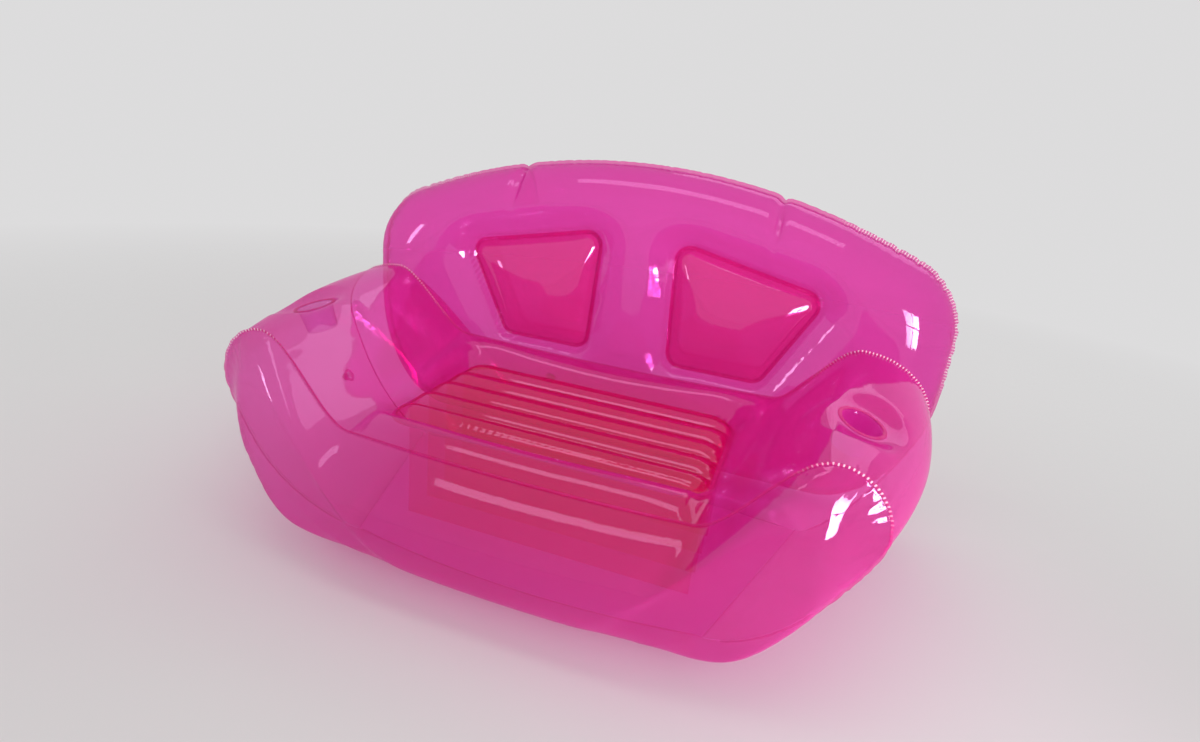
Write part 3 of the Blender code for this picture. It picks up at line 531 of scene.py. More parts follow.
def inside_line(points, line):
    """Whether each flat point lies inside a closed line."""
    inside = np.zeros(len(points), dtype=bool)
    ends = np.roll(line, -1, axis=0)
    for (x1, y1), (x2, y2) in zip(line, ends):
        if y1 == y2:
            continue
        crosses = (y1 > points[:, 1]) != (y2 > points[:, 1])
        at = (x2 - x1) * (points[:, 1] - y1) / (y2 - y1) + x1
        inside ^= crosses & (points[:, 0] < at)
    return inside


def signed_distance(points, line):
    """The distance to a closed line, negative inside it."""
    away, _ = nearest_on_line(points, line, True)
    return np.where(inside_line(points, line), -away, away)


def rounded(corners, radius, steps=10):
    """A closed line through corners, each rounded off."""
    made = []
    count = len(corners)
    for k in range(count):
        corner = np.array(corners[k])
        before = unit(np.array(corners[k - 1]) - corner)
        after = unit(np.array(corners[(k + 1) % count]) - corner)
        half = math.acos(np.clip(before @ after, -1, 1)) / 2
        run = radius / math.tan(half)
        centre = corner + unit(before + after) * radius / math.sin(half)
        first = corner + before * run - centre
        last = corner + after * run - centre
        for step in range(steps + 1):
            turn = step / steps
            spoke = unit(mix(first, last, turn)) * radius
            made.append(centre + spoke)
    return np.array(made)


def resampled(loop, pitch):
    """A closed line with evenly spaced points."""
    whole = np.vstack([loop, loop[:1]])
    arc = arc_of(whole)
    count = int(round(arc[-1] / pitch))
    return spots_on(whole, arc, np.linspace(0, arc[-1], count + 1))[:-1]


class Weld:
    """A welded edge, the way out from the sofa along it, and the creases that run from it."""

    def __init__(self, line, outward, seed, strength, closed=False):
        self.line = line
        self.outward = outward
        self.closed = closed
        self.strength = strength
        self.arc = arc_of(line)
        whole = self.arc[-1]
        if closed:
            whole += np.linalg.norm(line[0] - line[-1])
        dice = np.random.default_rng(seed)
        count = int(whole / films().pucker_pitch)
        marks = np.cumsum(dice.uniform(0.55, 1.45, count))
        self.marks = np.concatenate([[0.0], marks / marks[-1] * whole])
        self.depths = dice.uniform(0.35, 1.0, count)
        self.reaches = dice.uniform(0.6, 1.4, count)

    def crease(self, along):
        """1 on a crease, 0 half way between two, and the crease's own depth and reach."""
        slot, share, height = creases(self.marks, along)
        near = np.clip(np.where(share > 0.5, slot + 1, slot), 0, len(self.depths) - 1)
        return height, self.depths[near], self.reaches[near]

    def pulled(self, points, scallop):
        """The points, drawn in with the weld's own scalloped line."""
        away, along = nearest_on_line(points, self.line, self.closed)
        height, depth, _ = self.crease(along)
        pull = scallop * height * depth * self.strength(points) * np.exp(-away / scallop_fade)
        return points - unit(spots_on(self.outward, self.arc, along)) * pull[:, None]

    def puckered(self, points, normals, reach):
        """The points of a film beside the weld, with its creases pressed in."""
        away, along = nearest_on_line(points, self.line, self.closed)
        height, depth, spread = self.crease(along)
        fade = ease(away / crease_start) * np.exp(-away / (reach * spread))
        press = films().pucker_depth * height * depth * fade * self.strength(points)
        return points - normals * press[:, None]

    def dressed(self, bm, reach, scallop):
        """The points of a whole sheet, with the weld's creases and its scalloped line."""
        return self.pulled(self.puckered(co_of(bm), normals_of(bm), reach), scallop)


def side_strength(least, start, run):
    """How strong creases are: least at the middle of the sofa and full at its sides."""
    return lambda points: least + (1 - least) * ease((np.abs(points[:, 0]) - start) / run)


# Meshes


def co_of(bm):
    return np.array([vert.co for vert in bm.verts])


def normals_of(bm):
    bm.normal_update()
    return np.array([vert.normal for vert in bm.verts])


def place(bm, points):
    for vert, point in zip(bm.verts, points):
        vert.co = point


def grid_mesh(points):
    """A bmesh grid bent onto an array of rows of points."""
    rows, columns = points.shape[:2]
    bm = bmesh.new()
    bmesh.ops.create_grid(bm, x_segments=columns - 1, y_segments=rows - 1, size=1)
    place(bm, points.reshape(-1, 3))
    return bm


def facing(bm, outward):
    """Turns the faces so that the sheet as a whole looks along outward."""
    bmesh.ops.recalc_face_normals(bm, faces=bm.faces)
    total = sum((face.normal * face.calc_area() for face in bm.faces), Vector())
    if total.dot(Vector(outward)) < 0:
        bmesh.ops.reverse_faces(bm, faces=bm.faces)


def refine_near(bm, inside, cuts):
    """Splits the cells near a small opening."""
    near = inside(co_of(bm))
    for vert, chosen in zip(bm.verts, near):
        vert.tag = bool(chosen)
    edges = [edge for edge in bm.edges if edge.verts[0].tag and edge.verts[1].tag]
    bmesh.ops.subdivide_edges(bm, edges=edges, cuts=cuts, use_grid_fill=True)


def cut_along(bm, distance, project, keep_inside=False):
    """Cuts away the cells past a line and draws the new border onto the line."""
    away = distance(np.array([face.calc_center_median() for face in bm.faces]))
    gone = away > 0 if keep_inside else away < 0
    old = set() if keep_inside else {vert for vert in bm.verts if vert.is_boundary}
    faces = [face for face, cut in zip(list(bm.faces), gone) if cut]
    bmesh.ops.delete(bm, geom=faces, context="FACES")
    border = [vert for vert in bm.verts if vert.is_boundary and vert not in old]
    spots = project(np.array([vert.co for vert in border]))
    for vert, spot in zip(border, spots):
        vert.co = spot


def soften(bm, near, rounds):
    """Evens out the cells beside a cut, with the borders held."""
    chosen = near(co_of(bm))
    verts = [v for v, take in zip(list(bm.verts), chosen) if take and not v.is_boundary]
    axes = {"use_axis_x": True, "use_axis_y": True, "use_axis_z": True}
    for _ in range(rounds):
        bmesh.ops.smooth_vert(bm, verts=verts, factor=0.5, **axes)


def link_piece(bm, name, finish, body, node):
    """Makes the mesh a piece of the sofa that rides on a body and stands for a CAD node."""
    mesh = bpy.data.meshes.new(name)
    bm.to_mesh(mesh)
    bm.free()
    mesh.shade_smooth()
    mesh.materials.append(finish_of(finish))
    piece = bpy.data.objects.new(name, mesh)
    bpy.context.scene.collection.objects.link(piece)
    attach(piece, body)
    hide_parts(node)
    return piece


def film_piece(bm, name, finish, node, outward=None, offset=-1.0):
    """Gives a sheet of the seat or backrest its film thickness."""
    if outward:
        facing(bm, outward)
    piece = link_piece(bm, name, finish, "sofa", node)
    wall = piece.modifiers.new("film", "SOLIDIFY")
    wall.thickness = films().thickness
    wall.offset = offset
    return piece


def turned(profile, steps, closed):
    """A sheet or solid turned round Z from a profile of (radius, height)."""
    bm = bmesh.new()
    verts = [bm.verts.new((radius, 0, height)) for radius, height in profile]
    ends = verts[1:] + verts[:1] if closed else verts[1:]
    edges = [bm.edges.new(pair) for pair in zip(verts, ends)]
    turn = {"cent": (0, 0, 0), "axis": (0, 0, 1), "angle": math.tau, "steps": steps}
    bmesh.ops.spin(bm, geom=verts + edges, use_merge=True, **turn)
    bmesh.ops.remove_doubles(bm, verts=bm.verts, dist=2e-6)
    bmesh.ops.recalc_face_normals(bm, faces=bm.faces)
    return bm


def ring_frame(node, up):
    """The place and axis of a turned CAD node, its Z turned to the side that up points to."""
    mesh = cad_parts[node].data
    points = np.unique(np.round([tuple(v.co) for v in mesh.vertices], 6), axis=0)
    centre = points.mean(axis=0)
    _, _, axes = np.linalg.svd(points - centre)
    axis = axes[2] if axes[2] @ np.array(up) > 0 else -axes[2]
    lean = np.array([0.0, 1.0, 0.0])
    if abs(axis[1]) > abs(axis[2]) + abs(axis[0]):
        lean = np.array([0.0, 0.0, 1.0])
    across = unit(np.cross(lean, axis))
    along = np.cross(axis, across)
    turned_by = Matrix(np.stack([across, along, axis], axis=1).tolist()).to_4x4()
    return Matrix.Translation(centre) @ turned_by


# Seat chamber

film = 0.0005
foot_z = film + clearance
def stretches(*runs):
    """Evenly spaced numbers over runs of (start, end, count) that follow each other."""
    parts = [np.linspace(*run) for run in runs]
    return np.concatenate(parts[:1] + [row[1:] for row in parts[1:]])


half_columns = stretches(
    (0, deck_end, 61),
    (deck_end, rise_end, 43),
    (rise_end, crown_end, 29),
    (crown_end, foot_end, 57),
)
columns = np.concatenate([-half_columns[:0:-1], half_columns])
wrap_rows = stretches((0, apron_end, 27), (apron_end, pan_end, 43), (pan_end, row_end, 21))


def section(columns, valley, top, outer, foot_x, middle_z):
    """Points (x, z) of the seat chamber's section at whole or part columns."""
    k = np.abs(columns)
    deck_nodes = [0.0, pan_half_x / 3, pan_half_x * 2 / 3, pan_half_x - pan_corner, pan_half_x]
    deck_nodes += [pan_half_x + weld_land, valley_middle_x]
    share = np.interp(k, range(deck_end + 1), deck_nodes) / valley_middle_x
    x = share * valley[0]
    z = mix(middle_z, valley[1], share**2)
    share = part(k, deck_end, rise_end)
    x = np.where(k > deck_end, mix(valley[0], top[0], share), x)
    z = np.where(k > deck_end, mix(valley[1], top[1], ease(share)), z)
    turn = part(k, rise_end, crown_end) * math.pi / 2
    x = np.where(k > rise_end, top[0] + (outer[0] - top[0]) * np.sin(turn), x)
    z = np.where(k > rise_end, outer[1] + (top[1] - outer[1]) * np.cos(turn), z)
    share = part(k, crown_end, foot_end)
    upper_z = mix(outer[1], foot_z, flank_upper_share)
    lower_x = mix(foot_x, outer[0], flank_lower_share)
    x = np.where(k > crown_end, bezier(outer[0], outer[0], lower_x, foot_x, share), x)
    z = np.where(k > crown_end, bezier(outer[1], upper_z, foot_z, foot_z, share), z)
    return x * np.sign(columns), z


def tuck(z, top, low, level):
    """The seam keeps to top until it drops below the given level, then sweeps to low."""
    share = np.maximum(0.0, 1 - z / level)
    return mix(top, low, share * share)


def front_seam(columns):
    x, z = section(columns, valley_front, front_hump, front_outer, front_foot_x, deck_front_z)
    y = tuck(z, front_seam_y, front_foot_end_y, front_outer[1] * arm_turn_share)
    return np.stack([x, y, z], axis=1)


def rear_seam(columns):
    k = np.abs(columns)
    x, z = section(columns, valley_rear, rear_hump, rear_outer, rear_foot_x, deck_rear_z)
    deck_y = mix(rear_seam_y, valley_rear_y, (np.abs(x) / valley_rear[0]) ** 2)
    arm_y = mix(valley_rear_y, arm_rear_y, ease(part(k, deck_end, rise_end)))
    arm_y = tuck(z, arm_y, rear_foot_end_y, rear_outer[1] * arm_turn_share)
    return np.stack([x, np.where(k <= deck_end, deck_y, arm_y), z], axis=1)


def line_normals(line, tangent):
    """The way out from the sofa along a line that runs over it from left to right."""
    return unit(np.stack([-tangent[:, 2], np.zeros(len(line)), tangent[:, 0]], axis=1))


def seam_normals(line):
    return line_normals(line, np.gradient(line, axis=0))


def arm_bulge(columns):
    """The film's fullness between its seams."""
    k = np.abs(columns)
    rise = part(k, deck_end, rise_end)
    bulge = mix(arm_inner_bulge, arm_crown_bulge, rise) * ease(2 * rise)
    crown = mix(arm_crown_bulge, arm_side_bulge, part(k, rise_end, crown_end))
    flank = arm_side_bulge * (1 - ease(part(k, crown_end, foot_end)))
    return np.where(k > crown_end, flank, np.where(k > rise_end, crown, bulge))


def pan_distance(x, y, beyond=0.0):
    """The distance outside the pan's rounded outline, negative inside it."""
    side_x = np.abs(x) - (pan_half_x - pan_corner)
    side_y = np.abs(y) - (pan_half_y - pan_corner)
    outside = np.hypot(np.maximum(side_x, 0), np.maximum(side_y, 0))
    return outside + np.minimum(np.maximum(side_x, side_y), 0) - pan_corner - beyond


def onto_pan_outline(points, beyond, z):
    """The nearest spots on the pan's rounded outline, so far beyond its opening."""
    straight = np.array([pan_half_x - pan_corner, pan_half_y - pan_corner])
    flat = points[:, :2]
    core = np.clip(flat, -straight, straight)
    spoke = flat - core
    inner = np.linalg.norm(spoke, axis=1) < 1e-6
    spoke[inner] = np.sign(flat[inner]) * [1.0, 0.0]
    spots = core + unit(spoke) * (pan_corner + beyond)
    return np.column_stack([spots, np.full(len(points), z)])


def wrap_points():
    """The film over the deck and both arms, before its openings are cut."""
    gap = np.array([0, film + clearance, 0])
    front = front_seam(columns) + gap
    rear = rear_seam(columns) - gap
    k = np.abs(columns)
    land = pan_half_y + weld_land
    apron = part(wrap_rows, 0, apron_end)
    behind = part(wrap_rows, pan_end, row_end)
    level = mix(-land, land, part(wrap_rows, apron_end, pan_end))
    level = np.where(wrap_rows < apron_end, -land * apron, level)
    level = np.where(wrap_rows > pan_end, land * (1 - behind), level)
    fore = np.where(wrap_rows < apron_end, 1 - apron, 0.0)
    y = fore[:, None] * front[None, :, 1] + level[:, None] + behind[:, None] * rear[None, :, 1]
    share = (y - front[None, :, 1]) / (rear - front)[None, :, 1]
    valley = share[:, int(np.argmin(np.abs(columns - deck_end)))]
    even = wrap_rows / row_end
    arm_share = mix(valley[:, None], even[:, None], part(k, deck_end, rise_end)[None, :])
    share = np.where(k[None, :] <= deck_end, share, arm_share)
    points = front[None] + (rear - front)[None] * share[..., None]
    crown = deck_front_crown * hump(apron) * (wrap_rows < apron_end)
    crown = crown + deck_rear_crown * hump(behind) * (wrap_rows > pan_end)
    points[..., 2] += crown[:, None] * np.clip(1 - (k / deck_end) ** 4, 0, 1)[None, :]
    away = pan_distance(points[..., 0], points[..., 1], weld_land)
    fall = np.where(k[None, :] <= rise_end, dome(away / pan_fall), 1.0)
    points[..., 2] = mix(pan_land_z, points[..., 2], fall)
    out = unit(seam_normals(front) + seam_normals(rear))
    points += out[None] * (arm_bulge(columns)[None, :] * hump(share))[..., None]
    edge = np.array([land_row, 0, 0])
    return np.concatenate([points[:, :1] + edge, points, points[:, -1:] - edge], axis=1)


def across_axis(points, turned_by):
    """The points in a frame, with their distance from its axis and their height over its plane."""
    back = np.array(turned_by.inverted())
    spots = points @ back[:3, :3].T + back[:3, 3]
    return spots, np.hypot(spots[:, 0], spots[:, 1]), spots[:, 2]


def level_round(points, turned_by, land, fall):
    """Draws a film down to a flat land round an opening."""
    _, away, height = across_axis(points, turned_by)
    hold = 1 - ease((away - land) / fall)
    hold = np.where(np.abs(height) < 2 * mouth_height, hold, 0.0)
    axis = np.array(turned_by.col[2][:3])
    return points - axis * (height * hold)[:, None]


def open_round(bm, turned_by, radius, land, fall, cuts):
    """Opens a round mouth with a flat land in a film."""

    def away_from_axis(points):
        _, away, height = across_axis(points, turned_by)
        return np.where(np.abs(height) < mouth_height, away, 1.0)

    def onto_mouth(points):
        spots, away, _ = across_axis(points, turned_by)
        spots[:, :2] *= (radius / away)[:, None]
        spots[:, 2] = 0
        whole = np.array(turned_by)
        return spots @ whole[:3, :3].T + whole[:3, 3]

    refine_near(bm, lambda points: away_from_axis(points) < land + fall / 2, cuts)
    place(bm, level_round(co_of(bm), turned_by, land, fall))
    cut_along(bm, lambda points: away_from_axis(points) - radius, onto_mouth)
    soften(bm, lambda points: away_from_axis(points) < land, 2)


def open_for_valve(bm, turned_by):
    mouth = valve_stem_radius + 2 * clearance
    land = valve_flange_radius + valve_land_rim
    open_round(bm, turned_by, mouth, land, valve_fall, 3)


def front_weld():
    line = front_seam(columns)
    return Weld(line, seam_normals(line), 11, side_strength(0.15, 0.36, 0.12))


def rear_weld():
    line = rear_seam(columns)
    return Weld(line, seam_normals(line), 12, side_strength(0.15, 0.42, 0.12))


def film_frame(node, up, thickness):
    """The frame of a ring's solid, with its origin on the outer side of the film."""
    return ring_frame(node, up) @ Matrix.Translation((0, 0, -clearance - thickness / 2))


def cup_frames():
    return [
        (side, film_frame(f"{side}_cup_rim", (0, 0, 1), cup_rim_thickness))
        for side in ("left", "right")
    ]


def valve_frames():
    ways = (("base", (-1, 0, 0)), ("back", (0, 1, 0)))
    return [
        (number, film_frame(f"{number}_valve_flange", way, valve_flange_thickness))
        for number, way in ways
    ]


def make_wrap():
    bm = grid_mesh(wrap_points())

    def outline_distance(points):
        z = points[:, 2]
        level = (z < pan_land_z + 0.02) & (z > 0.2)
        return np.where(level, pan_distance(points[:, 0], points[:, 1]), 1.0)

    cut_along(bm, outline_distance, lambda p: onto_pan_outline(p, 0.0, pan_land_z))
    soften(bm, lambda p: outline_distance(p) < weld_land, 2)
    for _, turned_by in cup_frames():
        open_round(bm, turned_by, cup_radius, cup_radius + weld_land, cup_fall, 1)
    open_for_valve(bm, valve_frames()[0][1])
    facing(bm, (0, 0, 1))
    points = co_of(bm)
    for weld in (front_weld(), rear_weld()):
        points = weld.puckered(points, normals_of(bm), side_crease_reach)
        points = weld.pulled(points, seam_scallop)
    place(bm, points)
    film_piece(bm, "wrap_film", "deck_film", "seat_and_arm_wrap", (0, 0, 1))


def foot_line(half_x, middle_y, end_y, shares):
    """The lower edge of the front or rear panel, bowed out at its middle."""
    y = mix(middle_y, end_y, shares**2)
    return np.stack([shares * half_x, y, np.full(len(shares), foot_z)], axis=1)


def foot_shares(line):
    """Where along its lower edge, from -1 to 1, each column of a panel ends."""
    k = np.abs(columns)
    shares = flank_foot_share * np.abs(line[:, 0]) / np.interp(crown_end, columns, line[:, 0])
    flank = mix(flank_foot_share, 1.0, part(k, crown_end, foot_end))
    return np.where(k > crown_end, flank, shares) * np.sign(line[:, 0])


def bulge_at(x, line, bulges):
    """How far a panel stands out at x."""
    hump_x = np.interp(rise_end, columns, line[:, 0])
    side_x = np.interp(crown_end, columns, line[:, 0])
    x = np.abs(x)
    near = mix(bulges[0], bulges[1], ease((x / hump_x) ** bulge_fall_share))
    far = mix(bulges[1], bulges[2], ease((x - hump_x) / (side_x - hump_x)))
    return np.where(x < hump_x, near, far)


def panel_points(line, foot_ys, bulges, step, rows):
    """The front or rear panel: puffed out from the seam and tucked under at the floor."""
    foot_x = abs(line[-1][0]) - weld_land - 3 * clearance
    if step > 0:
        narrowing = (rear_foot_x - front_foot_x) / (rear_seam_y - front_seam_y)
        foot_x -= narrowing * (rear_seam_y - foot_ys[1] + weld_land)
    feet = foot_line(foot_x, foot_ys[0], foot_ys[1], foot_shares(line))
    start = line + np.array([0, step * (film + clearance), 0])
    middle_z = np.interp(0, columns, line[:, 2])
    reach = np.minimum(np.linalg.norm(start - feet, axis=1) / middle_z, 1.0)
    shares = (1 - np.cos(np.linspace(0, math.pi, rows + 1))) / 2
    shares = mix(shares, np.linspace(0, 1, rows + 1), 0.5)
    along, out = puffed(shares)
    out = np.where(shares > 0.5, 1.0, out)
    points = start[None] + (feet - start)[None] * along[:, None, None]
    under = dome((points[..., 2] - foot_z) / (panel_turn_share * middle_z))
    bulge = bulge_at(points[..., 0], line, bulges) * out[:, None] * reach[None, :] * under
    points[..., 1] += step * bulge
    land = feet[None] - np.array([0, step * land_row, 0])
    return np.concatenate([points, land], axis=0)


def make_panel(name, node, weld, foot_ys, bulges, step, rows, reach, limit):
    """The front or rear panel, which stays on its own side of a limit."""
    points = panel_points(weld.line, foot_ys, bulges, step, rows)
    points[..., 1] = np.minimum(points[..., 1], limit)
    bm = grid_mesh(points)
    facing(bm, (0, step, 0))
    spots = weld.dressed(bm, reach, seam_scallop)
    spots[:, 1] = np.minimum(spots[:, 1], limit)
    place(bm, spots)
    film_piece(bm, name, "outer_film", node, (0, step, 0))


def make_front_panel():
    feet = (front_foot_y, front_foot_end_y)
    weld = front_weld()
    shape = (front_bulges, -1, 64, front_crease_reach, math.inf)
    make_panel("front_film", "front_panel", weld, feet, *shape)


def make_rear_panel():
    feet = (rear_foot_y, rear_foot_end_y)
    limit = back_contact_y - film - 2 * clearance
    shape = (rear_bulges, 1, 48, side_crease_reach, limit)
    make_panel("rear_film", "base_rear_panel", rear_weld(), feet, *shape)


def make_bottom_panel():
    shares = np.linspace(-1, 1, 121)
    front = foot_line(front_foot_x, front_foot_y, front_foot_end_y, shares)
    rear = foot_line(rear_foot_x, rear_foot_y, rear_foot_end_y, shares)
    rows = np.linspace(0, 1, 49)[:, None, None]
    points = mix(front[None], rear[None], rows)
    points[..., 2] = film
    bm = grid_mesh(points)
    film_piece(bm, "bottom_film", "bottom_film", "bottom_panel", (0, 0, 1))


def make_weld_strip(weld, lip, name, node):
    """The pressed lip of a weld, a little wavy, with a map of the way along it."""
    line = weld.line
    keep = np.ones(len(line), dtype=bool)
    if not weld.closed:
        keep = (line + weld.outward * lip)[:, 2] > weld_land
    line, outward = line[keep], weld.outward[keep]
    _, along = nearest_on_line(line, weld.line, weld.closed)
    crease, depth, _ = weld.crease(along)
    strength = weld.strength(line)
    pull = (back_scallop if weld.closed else seam_scallop) * crease * depth * strength
    rows = []
    for share in lip_rows:
        wave = lip_wave * share * (crease - 0.4) * strength
        row = line + outward * (share * lip - pull)[:, None]
        row[:, 1] += wave + film
        rows.append(row)
    if weld.closed:
        rows = [np.vstack([row, row[:1]]) for row in rows]
        along = np.concatenate([along, [along[-1] + np.linalg.norm(line[0] - line[-1])]])
    bm = grid_mesh(np.stack(rows))
    sheet = bm.loops.layers.uv.new("along_weld")
    count = len(along)
    bm.verts.index_update()
    for face in bm.faces:
        for loop in face.loops:
            row, column = divmod(loop.vert.index, count)
            loop[sheet].uv = (along[column], lip_rows[row] * lip)
    if weld.closed:
        bmesh.ops.remove_doubles(bm, verts=bm.verts, dist=1e-5)
    bmesh.ops.recalc_face_normals(bm, faces=bm.faces)
    if sum((face.normal.y for face in bm.faces)) < 0:
        bmesh.ops.reverse_faces(bm, faces=bm.faces)
    piece = link_piece(bm, name, "weld", "sofa", node)
    wall = piece.modifiers.new("lip", "SOLIDIFY")
    wall.thickness = 2 * film
    wall.offset = -1


def make_seat_lips():
    make_weld_strip(front_weld(), seam_lip, "front_lip", "front_seam_weld")
    make_weld_strip(rear_weld(), seam_lip, "rear_lip", "rear_seam_weld")


# Ribbed pan and baffles

pan_flange_z = pan_land_z - film - clearance
rib_pitch = 2 * pan_half_y / rib_count


def pan_height(x, y):
    """Height of the ribbed pan: tubes with rounded, puckered ends, and flat welds between."""
    inside = -pan_distance(x, y)
    share = (y + pan_half_y) / rib_pitch % 1.0
    end = dome(inside / rib_end_run)
    rib = rib_height * np.sin(np.pi * share) ** 0.7
    pucker = np.exp(-inside / 0.016) * ease(inside / 0.006)
    ripple = 0.0012 * np.sin(math.tau * y / 0.0122) * pucker
    ripple += 0.0008 * np.sin(math.tau * x / 0.017 + 9 * np.sin(5 * x)) * pucker
    height = end * (pan_edge_rise + rib) + ripple
    return pan_flange_z + np.where(inside > 0, height, 0.0)


def make_pan():
    reach = weld_land - clearance
    x = np.linspace(-pan_half_x - weld_land, pan_half_x + weld_land, 141)
    y = np.linspace(-pan_half_y - weld_land, pan_half_y + weld_land, 97)
    flat_x, flat_y = np.meshgrid(x, y)
    points = np.stack([flat_x, flat_y, np.zeros_like(flat_x)], axis=-1)
    bm = grid_mesh(points)
    cut_along(
        bm,
        lambda p: pan_distance(p[:, 0], p[:, 1], reach),
        lambda p: onto_pan_outline(p, reach, 0.0),
        keep_inside=True,
    )
    spots = co_of(bm)
    spots[:, 2] = pan_height(spots[:, 0], spots[:, 1])
    place(bm, spots)
    film_piece(bm, "ribbed_pan_film", "seat_film", "seat_pan", (0, 0, 1))


def make_baffles():
    half = pan_half_x - baffle_edge_gap / 2
    low = film + clearance
    for number in range(1, rib_count):
        at = -pan_half_y + number * rib_pitch
        x, share = np.meshgrid(np.linspace(-half, half, 91), np.linspace(0, 1, 41))
        rise = pan_edge_rise * dome((pan_half_x - np.abs(x)) / rib_end_run)
        z = mix(low, pan_flange_z + rise - film - clearance, share)
        slack = np.sin(np.pi * share)
        wave = 0.0022 * np.sin(x * 19 + number * 1.7) + 0.0009 * np.sin(x * 83 + number)
        y = at + wave * slack
        bm = grid_mesh(np.stack([x, y, z], axis=-1))
        name = f"baffle_film_{number}"
        film_piece(bm, name, "baffle_film", f"seat_baffle_{number}", (0, 1, 0), 0.0)


# Cup wells


def make_cup_wells():
    for side, turned_by in cup_frames():
        top = -film - clearance
        low = top - cup_depth
        foot = low + cup_fillet
        profile = [(cup_radius + weld_land - clearance, top), (cup_radius + 0.002, top)]
        for share in np.arange(13) / 12:
            radius = mix(cup_radius, cup_floor_radius, share) - 0.0006 * math.sin(math.pi * share)
            profile.append((radius - film, mix(top - 0.001, foot, share)))
        for turn in np.arange(1, 6) / 5 * math.pi / 2:
            radius = cup_floor_radius - film - cup_fillet * (1 - math.cos(turn))
            profile.append((radius, foot - cup_fillet * math.sin(turn)))
        profile += [(0.018, low + 0.0006), (0.009, low + 0.0014), (0.0, low + 0.0016)]
        bm = turned(profile, 72, False)
        points = co_of(bm)
        away = np.hypot(points[:, 0], points[:, 1])
        angle = np.arctan2(points[:, 1], points[:, 0])
        deep = ease((top - points[:, 2]) / 0.012) * ease((points[:, 2] - low) / 0.01)
        swell = 1 - 0.016 * deep * np.abs(np.sin(angle * 7 + 0.8 * np.sin(angle * 3)))
        points[:, :2] *= np.where(away > 0.02, swell, 1.0)[:, None]
        place(bm, points)
        facing(bm, (0, 0, 1))
        bmesh.ops.transform(bm, matrix=turned_by, verts=bm.verts)
        film_piece(bm, f"{side}_cup_film", "cup_film", f"{side}_cup_well")


def make_cup_rims():
    for side, turned_by in cup_frames():
        profile = []
        for turn in math.pi * np.arange(9) / 8:
            radius = cup_radius + cup_rim_width / 2 * (1 + math.cos(turn))
            height = cup_rim_thickness * abs(math.sin(turn)) ** 0.7
            profile.append((radius, clearance + height))
        bm = turned(profile, 96, True)
        points = co_of(bm)
        angle = np.arctan2(points[:, 1], points[:, 0])
        points[:, 2] *= 1 - 0.12 * (0.5 + 0.5 * np.sin(angle * 48))
        place(bm, points)
        bmesh.ops.transform(bm, matrix=turned_by, verts=bm.verts)
        link_piece(bm, f"{side}_rim_weld", "weld", "sofa", f"{side}_cup_rim")


# Backrest


def crest_z(x):
    """Height of the crest's outline, with its two notches."""
    x = np.abs(x)
    arch = back_shoulder_z + (back_crest_z - back_shoulder_z) * (1 - (x / back_shoulder_x) ** 2)
    past = np.clip((x - back_shoulder_x) / (back_half_width - back_shoulder_x), 0, 1)
    slope = 2 * (back_crest_z - back_shoulder_z) / back_shoulder_x
    drop = back_shoulder_z - back_end_top_z - slope * (back_half_width - back_shoulder_x)
    fall = slope * (x - back_shoulder_x) + drop * (1 - np.sqrt(1 - past**2))
    z = np.where(x <= back_shoulder_x, arch, back_shoulder_z - fall)
    notch = back_notch_z - mix(back_crest_z, back_shoulder_z, (back_notch_x / back_shoulder_x) ** 2)
    dip = np.clip(1 - np.abs(x - back_notch_x) / back_notch_width, 0, 1) ** 2
    return z + notch * dip


def foot_of_back_z(x):
    past = np.clip((np.abs(x) - back_foot_x) / (back_half_width - back_foot_x), 0, 1)
    return mix(back_end_low_z, back_foot_z, np.sqrt(1 - past**2))


def back_xz():
    """Rows of (x, z) over the whole back, and its outline from the left foot over the crest."""
    turn = np.linspace(-math.pi / 2, math.pi / 2, 253)
    x = back_half_width * mix(np.sin(turn), turn / (math.pi / 2), 0.45)
    up = (1 - np.cos(np.linspace(0, math.pi, 125))) / 2
    up = mix(up, np.linspace(0, 1, 125), 0.45)
    z = mix(foot_of_back_z(x)[None, :], crest_z(x)[None, :], up[:, None])
    flat = np.stack([np.broadcast_to(x, z.shape), z], axis=-1)
    ring = [flat[-1], flat[-2:0:-1, -1], flat[0, ::-1], flat[1:-1, 0]]
    return flat, np.concatenate(ring)


def pillow_outline(side):
    line = rounded(pillow_corners, pillow_corner_radius)
    return line * [side, 1]


def relaxed(field, hold, rounds):
    """Smooths a grid of heights, except where it is held."""
    for _ in range(rounds):
        padded = np.pad(field, 1, mode="edge")
        around = padded[:-2, 1:-1] + padded[2:, 1:-1] + padded[1:-1, :-2] + padded[1:-1, 2:]
        field = mix(around / 4, field, hold)
    return field


def back_weld(outline):
    line = np.stack([outline[:, 0], np.full(len(outline), back_rim_y), outline[:, 1]], axis=1)
    tangent = np.roll(line, -1, axis=0) - np.roll(line, 1, axis=0)
    return Weld(line, line_normals(line, tangent), 21, side_strength(0.35, 0.45, 0.15), True)


def nearest_on_loop(points, loop):
    """The nearest spots (x, z) on a closed flat line."""
    _, along = nearest_on_line(points[:, [0, 2]], loop, True)
    whole = np.vstack([loop, loop[:1]])
    return spots_on(whole, arc_of(whole), along)


def back_sheet(flat, y):
    """A sheet over the whole back, at its own depth at each spot."""
    spots = flat.reshape(-1, 2)
    points = np.stack([spots[:, 0], y, spots[:, 1]], axis=1)
    return grid_mesh(points.reshape(*flat.shape[:2], 3))


def tie_dent(points, side):
    """How hard the film is drawn in along the tie that runs down from a notch."""
    across = np.abs(points[:, 0] - side * back_notch_x)
    down = crest_z(points[:, 0]) - points[:, 1]
    return np.exp(-across / 0.010) * (1 - ease((down - 0.050) / 0.050))


